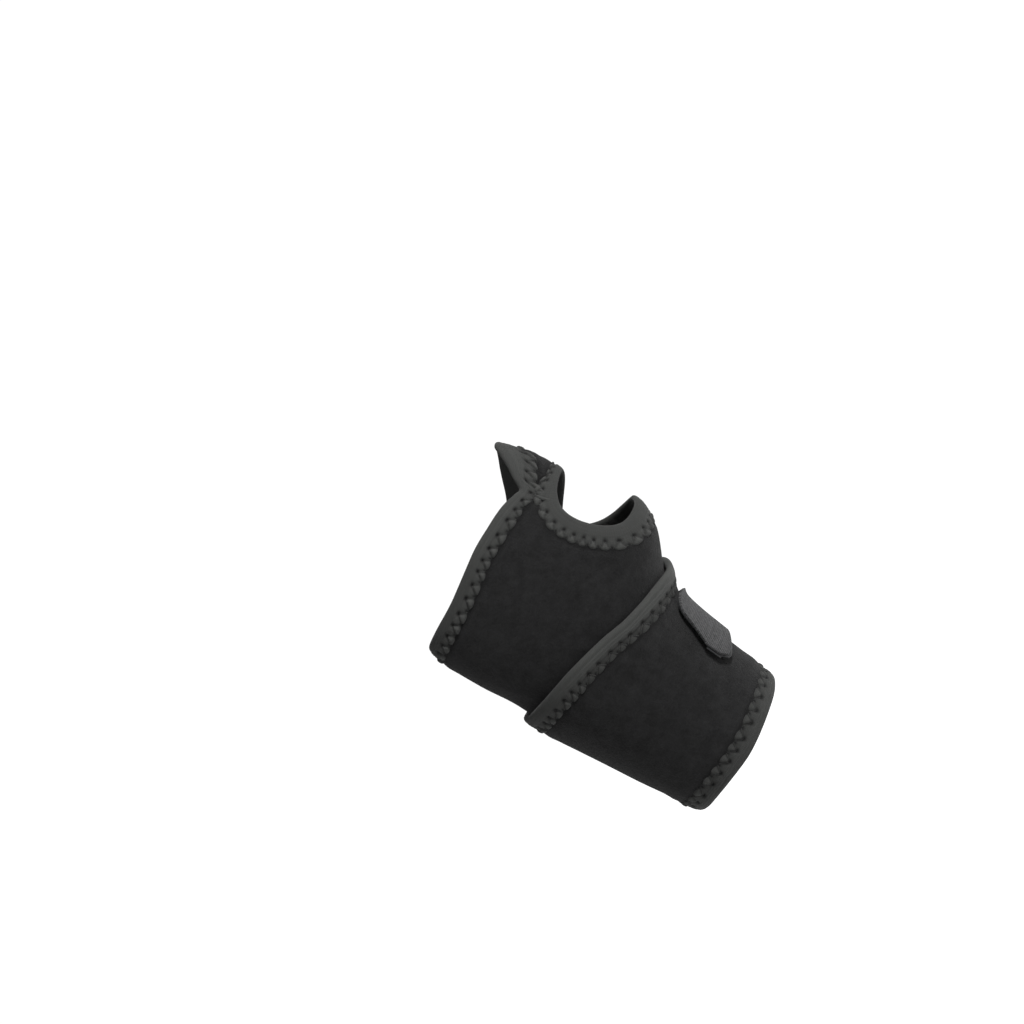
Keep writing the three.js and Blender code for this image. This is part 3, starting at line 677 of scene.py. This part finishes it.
ROW_STEP = 0.39 * MM  # between two rows of a tape's grid
FOLD = 0.9 * MM  # from the edge in to where the tape's fold begins
# the needle holes are dented and darkened with painted shade; the notches are darkened with painted shade
# only
NEEDLE_HOLE, NOTCH, INNER_NOTCH = 0.7 * MM, 1.0 * MM, 0.6 * MM  # radii of the dimples at the stitches
HOLE_PITCH = 0.66  # the stitches round the thumb hole lie closer, by this share
OUTER_THREAD, OUTER_DIVE = 2.16 * MM, 0.6 * MM  # lift of the thread, and how far it dives at a stitch
INNER_THREAD, INNER_DIVE = -0.06 * MM, 0.45 * MM
RIBS = 3.2  # across the smooth band
DEEPEST, LEVELS = 11 * MM, 23  # how far in from an edge a thread may lie, and the steps on the way


class Edge:
    """An edge that a length of tape is bound over: its rows of places, and how to go in from it."""

    def __init__(self, name, along, ring, inset_place, shares=(1, 1), crowded=0, stretched=0, pale=0):
        """The shares are the widths of the seam and of the smooth band, against their full widths."""
        self.name, self.along, self.ring, self.inset_place = name, along, ring, inset_place
        self.length = along[-1] + (along[1] if ring else 0)
        # pale is how much painted sheen lightens the tape
        by_row = [np.broadcast_to(value, along.shape) for value in (*shares, crowded, stretched, pale)]
        self.share, self.band_share, self.crowded, self.stretched, self.pale = by_row


def long_edge(name, edge, inward):
    turns = np.linspace(FLAP_END + 4.2, STRAP_END - 4.6, 3000)
    points = on_wrap(turns, edge(turns), TAPE_TOP / 2)
    turn, along = evenly(turns, points, ROW_STEP)
    lean = slant(edge, turn)

    def inset_place(inset):
        height = edge(turn)[:, None] + inward * inset * lean[:, None]
        return np.broadcast_to(turn[:, None], inset.shape), height

    # stretched flattens the tape on the strap; pale lays painted sheen on the tape there, and on the finger
    # edge also from the thumb's side round to the palm
    stretched = smoothstep(330, 375, turn) * smoothstep(520, 470, turn)
    if inward > 0:
        return Edge(name, along, False, inset_place, stretched=0.8 * stretched, pale=0.1 * stretched)
    shares = seam_share(turn), band_share(turn)
    pale = 0.45 * stretched + 0.28 * smoothstep(-20, 0, turn) * smoothstep(125, 80, turn)
    return Edge(name, along, False, inset_place, shares, crowding(turn, edge(turn)), stretched, pale)


def end_edge(name, end, inward):
    low, high = float(cuff_edge(end)), float(finger_edge(end))
    heights = np.linspace(low + 0.5 * MM, high - 0.5 * MM, 600)
    points = on_wrap(end, heights, TAPE_TOP / 2)
    height, along = evenly(heights, points, ROW_STEP)
    share = (height - low) / (high - low)
    per_turn = np.linalg.norm(on_wrap(end + 0.5, height, 0) - on_wrap(end - 0.5, height, 0), axis=-1)

    def inset_place(inset):
        turn = end + inward * inset / per_turn[:, None]
        start, stop = cuff_edge(turn), finger_edge(turn)
        return turn, start + share[:, None] * (stop - start)

    return Edge(name, along, False, inset_place)


def hole_edge(name):
    turn, height, way, along = rim_places(ROW_STEP)
    heading = np.cross(face_out(turn, height), way)

    def inset_place(inset):
        return walk(turn[:, None], height[:, None], heading[:, None], inset)

    share = hole_share(turn, height)
    return Edge(name, along, True, inset_place, (share, share), crowding(turn, height))


def stitch_phase(edge, sizes):
    """How far along its uneven zigzag each row is: whole numbers at the stitches beside the smooth band."""
    pitch = sizes.pitch * (HOLE_PITCH if edge.ring else 1)
    count = max(2, round(edge.length / pitch))
    round_about = edge.along / edge.length * math.tau
    radius = edge.length / math.tau
    line = np.stack([np.cos(round_about), np.sin(round_about), 0 * round_about], -1) * radius
    shift = unevenness(line, 120, len(edge.name) + 9)
    return edge.along / edge.length * count + 0.3 * (shift - shift[0]), count


def pillows(u, x):
    """How full the tape stands between stitches: u runs across a pillow and x out from the smooth band."""
    beyond = np.clip(1 - (u / np.maximum(x, 0.02)) ** 2, 0, 1) ** 0.6
    scallop = beyond * np.clip(x / 0.3, 0, 1) ** 0.7 * np.sqrt(np.clip(1 - ((x - 0.5) / 0.56) ** 2, 0, 1))
    before = np.clip(1 - ((1 - u) / np.maximum(1 - x, 0.02)) ** 2, 0, 1) ** 0.6
    before = before * np.clip(1 - x, 0, 1) ** 0.5
    return np.where(x > u, scallop, 0.62 * before * smoothstep(0.0, 0.25, 1 - x))


def tape_profile(edge, band, sizes):
    """Insets, lifts and painted shading of the tape's outside, by row and column, from its outer free edge
    inwards: painted shade in its dents, painted highlight on its pillows.
    """
    phase, _ = stitch_phase(edge, sizes)
    u = np.abs(((phase + 0.5) % 1) - 0.5)[:, None] * 2
    pale, stretched = edge.pale[:, None], edge.stretched[:, None]
    band = (band * edge.band_share)[:, None]
    zigzag = (sizes.zigzag * edge.share)[:, None]
    line = np.stack([edge.along, edge.along * 0, edge.along * 0], -1)

    def uneven(scale, seed):
        return unevenness(line, scale, len(edge.name) + seed)[:, None]

    def dimple(x, across, radius):
        """How deep in a round dimple a place is, x seam widths and across half pitches off its middle."""
        return np.exp(-((x * zigzag) ** 2 + (across * sizes.pitch / 2) ** 2) / radius**2)

    wobble, drift = uneven(260, 0), uneven(90, 3)
    flat = 0.4 * stretched
    full = 1 + 0.35 * uneven(210, 1) - flat
    wrinkle = edge.crowded[:, None] * uneven(620, 2)
    end = 0.74 + 0.4 * (1 - u**2) + 0.06 * wobble
    columns = []
    for x in np.linspace(1, 0, 13):
        at = x * end
        fall = np.clip((1 - x) / 0.16, 0, 1) ** 0.5
        pit, notch = dimple(at, u, NEEDLE_HOLE), dimple(end - at, 1 - u, NOTCH)
        swell, thread = pillows(u, at) * full, 0.6 * bell(at, u, 0.15)
        lift = 1.85 * MM + swell * sizes.pillow * fall + 0.12 * MM * fall - 0.4 * MM * pit
        # painted shade in the needle holes, the notches, along the thread's line, where the tape falls to
        # its edge and where the pillows are flattened; painted highlight on the pillow tops
        dark = np.maximum.reduce([1.3 * pit, 1.3 * notch, thread]) + 0.6 * (1 - fall)
        dent = np.clip(dark + 0.7 * flat * fall - 0.45 * swell**2 * fall * (1 - dark), -0.5, 1)
        columns.append((band + at * zigzag, lift + 0.25 * MM * wrinkle, dent))
    for t in np.linspace(1, 0, 13)[1:]:
        inset = FOLD + t * (band - FOLD)
        pit, rib = dimple((band - inset) / zigzag, u, NEEDLE_HOLE), math.cos(math.tau * RIBS * t)
        rise = 0.2 * math.sin(math.pi * t) + (0.03 + 0.06 * stretched) * rib
        crown = TAPE_TOP + MM * (rise + 0.12 * wobble * t + 0.3 * t * wrinkle)
        seam = 2.02 * MM + pillows(u, 0 * u) * sizes.pillow - 0.3 * MM * pit
        blend = smoothstep(0.66, 1.02, t)
        # painted sheen across the smooth band where pale is set, banded with the ribs; painted shade in the
        # needle holes
        painted_sheen = pale * math.sin(math.pi * min(1, 0.15 + t)) * (1 + 0.35 * rib)
        columns.append((inset, crown * (1 - blend) + seam * blend, np.clip(pit * 1.3 - painted_sheen, -0.5, 1)))
    # the fold round the edge: painted sheen on its outer side where pale is set
    for angle in np.linspace(90, -90, 9)[1:-1]:
        reach = FOLD + TAPE_NOSE * (1 + 0.35 * drift)
        cos, sin = math.cos(math.radians(angle)), math.sin(math.radians(angle))
        lift = TAPE_TOP / 2 + TAPE_TOP / 2 * sin + 0.03 * MM * wobble
        columns.append((FOLD - reach * cos, lift, -0.9 * pale * smoothstep(-60, 20, angle)))
    for t in np.linspace(0, 1, 5):
        lift = 0 * u - 0.08 * MM * math.sin(math.pi * t)
        columns.append((FOLD + t * (band - FOLD), lift, 0 * u))
    # the inside of the seam: painted shade in the notches
    for x in np.linspace(0, 1, 7)[1:]:
        at = x * end
        fall = np.clip((1 - x) / 0.3, 0, 1) ** 0.5
        lift = 0.16 * MM - (pillows(u, at) * 0.35 * MM + 0.08 * MM) * fall
        columns.append((band + at * zigzag * 0.95, lift, dimple(end - at, 1 - u, INNER_NOTCH)))
    return [np.hstack([np.broadcast_to(values, u.shape) for values in kind]) for kind in zip(*columns)]


def make_tape(edge, band, sizes):
    inset, lift, dent = tape_profile(edge, band, sizes)
    normal = unit(np.stack([np.gradient(lift, axis=1), -np.gradient(inset, axis=1)], axis=-1))
    inner_inset = inset - normal[..., 0] * sizes.tape_wall
    inner_lift = lift - normal[..., 1] * sizes.tape_wall
    outer = on_wrap(*edge.inset_place(inset), lift)
    inner = on_wrap(*edge.inset_place(inner_inset), inner_lift)
    steps = [np.diff(values, axis=1, prepend=values[:, :1]) for values in (inset, lift)]
    across = np.cumsum(np.hypot(*steps), axis=1)
    uv = np.stack([across, np.broadcast_to(edge.along[:, None], across.shape)], axis=-1)
    piece = shell(edge.name, outer, inner, uv, finish("knitted_tape"), ring=edge.ring, dent=dent)
    face_outwards(piece)
    return piece


def make_zigzag(edge, band, sizes):
    """The thread of an edge's zigzag, outside and inside, as one tube for each."""
    phase, count = stitch_phase(edge, sizes)
    by_hole = 0.14  # the share of a stitch in which its thread dives
    shares = np.array([0.0, by_hole, 0.5, 1 - by_hole])
    places = ((np.arange(2 * count)[:, None] + shares) / 2).ravel()
    u = np.abs(((places + 0.5) % 1) - 0.5) * 2
    dive = np.clip(1 - np.minimum(u, 1 - u) / by_hole, 0, 1)
    rows, turns_made = np.append(edge.along, edge.length), np.append(phase, count)
    row = np.interp(places, turns_made, rows)
    smooth = band * np.interp(row, edge.along, edge.band_share)
    width = sizes.zigzag * np.interp(row, edge.along, edge.share)
    index = np.interp(row, rows, np.arange(len(rows)))
    index = index % len(edge.along) if edge.ring else np.minimum(index, len(edge.along) - 1)
    return [
        place_on(edge, index, smooth + (0.02 + 0.84 * u) * width, OUTER_THREAD - dive * OUTER_DIVE),
        place_on(edge, index, smooth + (0.02 + 0.8 * u) * width, INNER_THREAD + dive * INNER_DIVE),
    ]


def place_on(edge, index, inset, lift):
    """Points at fractional rows of an edge, at insets and lifts."""
    low = np.floor(index).astype(int)
    high = np.minimum(low + 1, len(edge.along) - 1) if not edge.ring else (low + 1) % len(edge.along)
    share = (index - low)[:, None]
    levels = np.broadcast_to(np.linspace(0, DEEPEST, LEVELS), (len(edge.along), LEVELS))
    turn, height = edge.inset_place(levels)
    level = np.clip(inset / DEEPEST * (LEVELS - 1), 0, LEVELS - 1.001)
    column = np.floor(level).astype(int)
    part = (level - column)[:, None]

    def at(rows):
        near = np.stack([turn[rows, column], height[rows, column]], -1)
        far = np.stack([turn[rows, column + 1], height[rows, column + 1]], -1)
        return near + part * (far - near)

    found = at(low) + share * (at(high) - at(low))
    return on_wrap(found[:, 0], found[:, 1], lift)


def make_thread(name, paths, thickness, cyclic=()):
    """A mesh of round thread along each path."""
    curve = bpy.data.curves.new(name, "CURVE")
    curve.dimensions = "3D"
    curve.bevel_depth = thickness / 2
    curve.bevel_resolution = 1
    curve.use_fill_caps = True
    for number, path in enumerate(paths):
        spline = curve.splines.new("POLY")
        spline.points.add(len(path) - 1)
        spline.points.foreach_set("co", np.concatenate([path, np.ones((len(path), 1))], axis=1).ravel())
        spline.use_cyclic_u = number in cyclic
    piece = bpy.data.objects.new(name, curve)
    bpy.context.scene.collection.objects.link(piece)
    choose(piece)
    bpy.ops.object.convert(target="MESH")
    piece = bpy.context.view_layer.objects.active
    piece.data.materials.clear()
    piece.data.materials.append(finish("sewing_thread"))
    bpy.ops.object.shade_smooth()
    return piece


def edges():
    """The edges that tape is bound over, with the width of the smooth band on each."""
    sizes = bpy.context.scene.splint_sizes
    return [
        (long_edge("finger_edge_tape", finger_edge, -1), sizes.band),
        (long_edge("cuff_edge_tape", cuff_edge, 1), sizes.band),
        (end_edge("flap_end_tape", FLAP_END, 1), sizes.band),
        (end_edge("strap_end_tape", STRAP_END, -1), sizes.band),
        (hole_edge("thumb_hole_tape"), sizes.hole_band),
    ]


# The hook tab

def tab_side(column):
    curve = curve_through(TAB_OUTLINE, column)
    return lambda turn: TAB_MIDDLE + TAB_WIDTH * curve(turn)


TAB_LOW, TAB_HIGH = tab_side(1), tab_side(2)


def tab_lift(turn):
    """How far the tab's under face lies off the form: it steps up over the hooks and lifts at its tip."""
    over_hooks = (HOOK_WALL + TAB_GAP) * smoothstep(HOOK_START - 14, HOOK_START, turn)
    return TAB_SEAT + over_hooks + TIP_LIFT * smoothstep(TIP_START, TAB_END, turn)


def flat_piece(name, start, end, low_shift, high_shift, low_lift, wall, material):
    """A piece of the tab's outline and its length, its two sides moved towards the cuff by the shifts."""
    rows, columns = int((end - start) / 1.1), 27
    turn = end - (end - start) * np.linspace(1, 0, rows) ** 1.25
    share = np.linspace(0, 1, columns)
    low, high = TAB_LOW(turn) - low_shift, TAB_HIGH(turn) - high_shift
    height = low[:, None] + share * (high - low)[:, None]
    turns = np.broadcast_to(turn[:, None], height.shape)
    lift = low_lift(turns)
    outer, inner = on_form(turns, height, lift + wall), on_form(turns, height, lift)
    along = lengths_along(on_form(turn, TAB_MIDDLE, low_lift(turn)))
    uv = np.stack([np.broadcast_to(along[:, None], height.shape), height], axis=-1)
    piece = shell(name, outer, inner, uv, material)
    choose(piece)
    bevel = piece.modifiers.new("soft_rim", "BEVEL")
    bevel.width = wall * 0.28
    bevel.segments = 2
    bevel.limit_method = "ANGLE"
    bevel.angle_limit = math.radians(50)
    bpy.ops.object.modifier_apply(modifier=bevel.name)
    bpy.ops.object.shade_smooth_by_angle(angle=math.radians(40))
    return piece, float(along[-1])


def running_stitches(corners, lift, length=2.4 * MM, gap=0.7 * MM):
    """Short straight stitches along a line of (turn, height) corners."""
    paths = []
    for (turn_a, height_a), (turn_b, height_b) in zip(corners, corners[1:]):
        turn, height = np.linspace(turn_a, turn_b, 60), np.linspace(height_a, height_b, 60)
        along = lengths_along(on_form(turn, height, lift))
        count = max(1, round(along[-1] / (length + gap)))
        step = along[-1] / count
        for k in range(count):
            ends = (k + np.array([0.0, 0.1, 0.5, 0.9, 1.0]) * 0.86 + 0.07) * step
            t, h = np.interp(ends, along, turn), np.interp(ends, along, height)
            paths.append(on_form(t, h, lift + np.array([-0.35, 0.02, 0.1, 0.02, -0.35]) * MM))
    return paths


def hook_mesh(name, material):
    """Rows of small nylon hooks that stand down from the patch into the loops of the strap."""
    step, half_width = 1.15 * MM, 0.09 * MM
    turn = np.linspace(HOOK_START + 1, TAB_END - 2, 400)
    along = lengths_along(on_form(turn, TAB_MIDDLE, TAB_SEAT))
    rows = int(along[-1] / step)
    generator = np.random.default_rng(7)
    points, faces = [], []
    corners = np.array([(-1, -1), (1, -1), (1, 1), (-1, 1)]) * half_width
    bend = [(0.0, 0.0), (0.0, 0.28), (0.12, 0.46), (0.34, 0.44)]  # mm ahead and down, along one hook
    for i in range(rows):
        at = float(np.interp((i + 0.5) * step, along, turn))
        low, high = float(TAB_LOW(at)) - 0.9 * MM, float(TAB_HIGH(at)) - 1.8 * MM
        count = int((high - low) / step)
        if count < 1:
            continue
        heights = low + (np.arange(count) + 0.5 * (i % 2)) * step
        base = on_form(at, heights, tab_lift(at) - TAB_GAP - HOOK_WALL + 0.15 * MM)
        out = face_out(at, heights)
        ahead = unit(on_form(at + 0.5, heights, TAB_SEAT) - on_form(at - 0.5, heights, TAB_SEAT))
        side = np.cross(out, ahead)
        way = 1 if i % 2 else -1
        turned = generator.uniform(-0.3, 0.3, count)
        for k in range(count):
            first = len(points)
            for reach, down in bend:
                bent = (ahead[k] * way + side[k] * turned[k]) * reach * MM - out[k] * down * MM
                points += [base[k] + bent + ahead[k] * a + side[k] * b for a, b in corners]
            for level in range(len(bend) - 1):
                for c in range(4):
                    low_c, next_c = first + level * 4 + c, first + level * 4 + (c + 1) % 4
                    faces.append([low_c, next_c, next_c + 4, low_c + 4])
            faces.append([first + 3, first + 2, first + 1, first])
            faces.append([first + 12, first + 13, first + 14, first + 15])
    piece = new_piece(name, np.array(points), faces, material)
    face_outwards(piece)
    return piece


# Operators

class SPLINT_OT_wrap(bpy.types.Operator):
    """Makes the neoprene wrap with its thumb hole, pressed hems and shallow folds"""

    bl_idname = "splint.wrap"
    bl_label = "Neoprene wrap"

    def execute(self, context):
        piece, width, length, area = make_wrap(context.scene.splint_sizes)
        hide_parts("neoprene_wrap")
        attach(piece, "root")
        context.scene["wrap_flat"] = [width, length, area]
        return {"FINISHED"}


class SPLINT_OT_binding(bpy.types.Operator):
    """Makes the knitted tape that is folded over every edge of the wrap"""

    bl_idname = "splint.binding"
    bl_label = "Binding"

    def execute(self, context):
        replaced = {
            "finger_edge_tape": "finger_edge_binding",
            "cuff_edge_tape": "cuff_edge_binding",
            "flap_end_tape": "flap_end_binding",
            "strap_end_tape": "strap_end_binding",
            "thumb_hole_tape": "thumb_hole_binding",
        }
        for edge, band in edges():
            piece = make_tape(edge, band, context.scene.splint_sizes)
            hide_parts(replaced[edge.name])
            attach(piece, "root")
        return {"FINISHED"}


class SPLINT_OT_zigzag(bpy.types.Operator):
    """Sews the binding down with a zigzag of thread on both faces"""

    bl_idname = "splint.zigzag"
    bl_label = "Zigzag seams"

    def execute(self, context):
        sizes = context.scene.splint_sizes
        for edge, band in edges():
            paths = make_zigzag(edge, band, sizes)
            cyclic = (0, 1) if edge.ring else ()
            piece = make_thread(edge.name.replace("tape", "zigzag"), paths, sizes.thread, cyclic)
            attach(piece, "root")
        return {"FINISHED"}


class SPLINT_OT_tab(bpy.types.Operator):
    """Makes the woven hook tab, its hook patch and the stitches that hold it to the strap"""

    bl_idname = "splint.tab"
    bl_label = "Hook tab"

    def execute(self, context):
        tab, length = flat_piece(
            "tab", TAB_START, TAB_END, 0, 0, tab_lift, TAB_WALL, finish("woven_tab_back"))
        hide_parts("hook_tab")
        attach(tab, "root")
        patch, patch_length = flat_piece(
            "hook_base", HOOK_START, TAB_END + 1.2, 1.2 * MM, 1.5 * MM,
            lambda turn: tab_lift(turn) - TAB_GAP * 0.6 - HOOK_BASE_WALL, HOOK_BASE_WALL,
            finish("hook_nylon"))
        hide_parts("hook_patch")
        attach(patch, "root")
        hooks = hook_mesh("hooks", finish("hook_nylon"))
        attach(hooks, "root")
        near, far = TAB_START + 4, STRAP_END - 3
        low, high = float(TAB_LOW(TAB_START)) + 2.4 * MM, float(TAB_HIGH(TAB_START)) - 2.4 * MM
        box = [(near, low), (far, low), (far, high), (near, high), (near, low)]
        cross = [[(near, low), (far, high)], [(near, high), (far, low)]]
        paths = []
        for corners in [box, *cross]:
            paths += running_stitches(corners, TAB_SEAT + TAB_WALL)
        stitches = make_thread("tab_stitches", paths, context.scene.splint_sizes.thread)
        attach(stitches, "root")
        context.scene["tab_flat"] = [length, patch_length]
        return {"FINISHED"}


# name, place, size, power
LIGHTS = (
    ("key", (1.0, -0.6, 0.7), 0.25, 25.0),
    ("fill", (-0.8, -0.9, 0.5), 0.9, 4.5),
    ("rim", (0.3, 0.9, 0.7), 0.8, 4.0),
)
LIT_CENTRE = Vector((0.012, 0, 0.06))
CAMERA_PLACE, CAMERA_ROLL = (0.02928, -0.750, 0.10494), 59.5
FOCAL_PIXELS, FRAME_PIXELS = 2173.9, 1024


class SPLINT_OT_stage(bpy.types.Operator):
    """Sets up the pale floor, soft studio light and the camera"""

    bl_idname = "splint.stage"
    bl_label = "Stage"

    def execute(self, context):
        scene = context.scene
        low = LENGTH * min(share for _, share in CUFF_EDGE) - TAPE_NOSE
        bpy.ops.mesh.primitive_plane_add(size=8, location=(0, 0, low - scene.splint_sizes.floor_drop))
        floor = context.active_object
        floor.name = "floor"
        pale = Nodes("pale_floor", 0.8, 0.2)
        pale.shader.inputs["Base Color"].default_value = (0.9, 0.9, 0.9, 1)
        pale.shader.inputs["Emission Color"].default_value = (1, 1, 1, 1)
        seen = pale.add("ShaderNodeLightPath").outputs["Is Camera Ray"]
        pale.tree.links.new(pale.ramp(seen, 0.0, 1.0, 0.15, 0.95), pale.shader.inputs["Emission Strength"])
        floor.data.materials.append(pale.material)
        scene.world = bpy.data.worlds.new("studio")
        scene.world.use_nodes = True
        tree = scene.world.node_tree
        background = tree.nodes["Background"].inputs
        background["Color"].default_value = (1, 1, 1, 1)
        strength = tree.nodes.new("ShaderNodeMapRange")
        strength.inputs["To Min"].default_value, strength.inputs["To Max"].default_value = 0.18, 1.05
        seen = tree.nodes.new("ShaderNodeLightPath").outputs["Is Camera Ray"]
        tree.links.new(seen, strength.inputs["Value"])
        tree.links.new(strength.outputs[0], background["Strength"])
        for name, place, size, power in LIGHTS:
            bpy.ops.object.light_add(type="AREA", location=place)
            light = context.active_object
            light.name = name
            light.data.shape = "DISK"
            light.data.size = size
            light.data.energy = power
            light.rotation_euler = (LIT_CENTRE - Vector(place)).to_track_quat("-Z", "Y").to_euler()
        bpy.ops.object.camera_add()
        camera = context.active_object
        roll = math.radians(CAMERA_ROLL)
        right, up = (math.cos(roll), 0, -math.sin(roll)), (math.sin(roll), 0, math.cos(roll))
        axes = Matrix((right, up, (0, -1, 0))).transposed().to_4x4()
        camera.matrix_world = Matrix.Translation(CAMERA_PLACE) @ axes
        camera.data.sensor_width = 36
        camera.data.lens = 36 * FOCAL_PIXELS / FRAME_PIXELS
        camera.data.clip_start = 0.01
        scene.camera = camera
        scene.view_settings.view_transform = "Standard"
        return {"FINISHED"}


class SPLINT_PT_sidebar(bpy.types.Panel):
    bl_label = "Thumb and wrist splint"
    bl_idname = "SPLINT_PT_sidebar"
    bl_space_type = "VIEW_3D"
    bl_region_type = "UI"
    bl_category = "Splint"

    def draw(self, context):
        for group in (context.scene.splint_sizes, context.scene.splint_colours):
            box = self.layout.box()
            for name in group.bl_rna.properties.keys():
                if name not in ("rna_type", "name"):
                    box.prop(group, name)
        for operator in OPERATORS:
            self.layout.operator(operator.bl_idname)


OPERATORS = (SPLINT_OT_wrap, SPLINT_OT_binding, SPLINT_OT_zigzag, SPLINT_OT_tab, SPLINT_OT_stage)
CLASSES = (SplintSizes, SplintColours, *OPERATORS, SPLINT_PT_sidebar)


def register():
    for kind in CLASSES:
        bpy.utils.register_class(kind)
    bpy.types.Scene.splint_sizes = bpy.props.PointerProperty(type=SplintSizes)
    bpy.types.Scene.splint_colours = bpy.props.PointerProperty(type=SplintColours)


def unregister():
    del bpy.types.Scene.splint_sizes
    del bpy.types.Scene.splint_colours
    for kind in reversed(CLASSES):
        bpy.utils.unregister_class(kind)


def main():
    register()
    bpy.ops.splint.wrap()
    bpy.ops.splint.binding()
    bpy.ops.splint.zigzag()
    bpy.ops.splint.tab()
    bpy.ops.splint.stage()


if __name__ == "__main__":
    main()
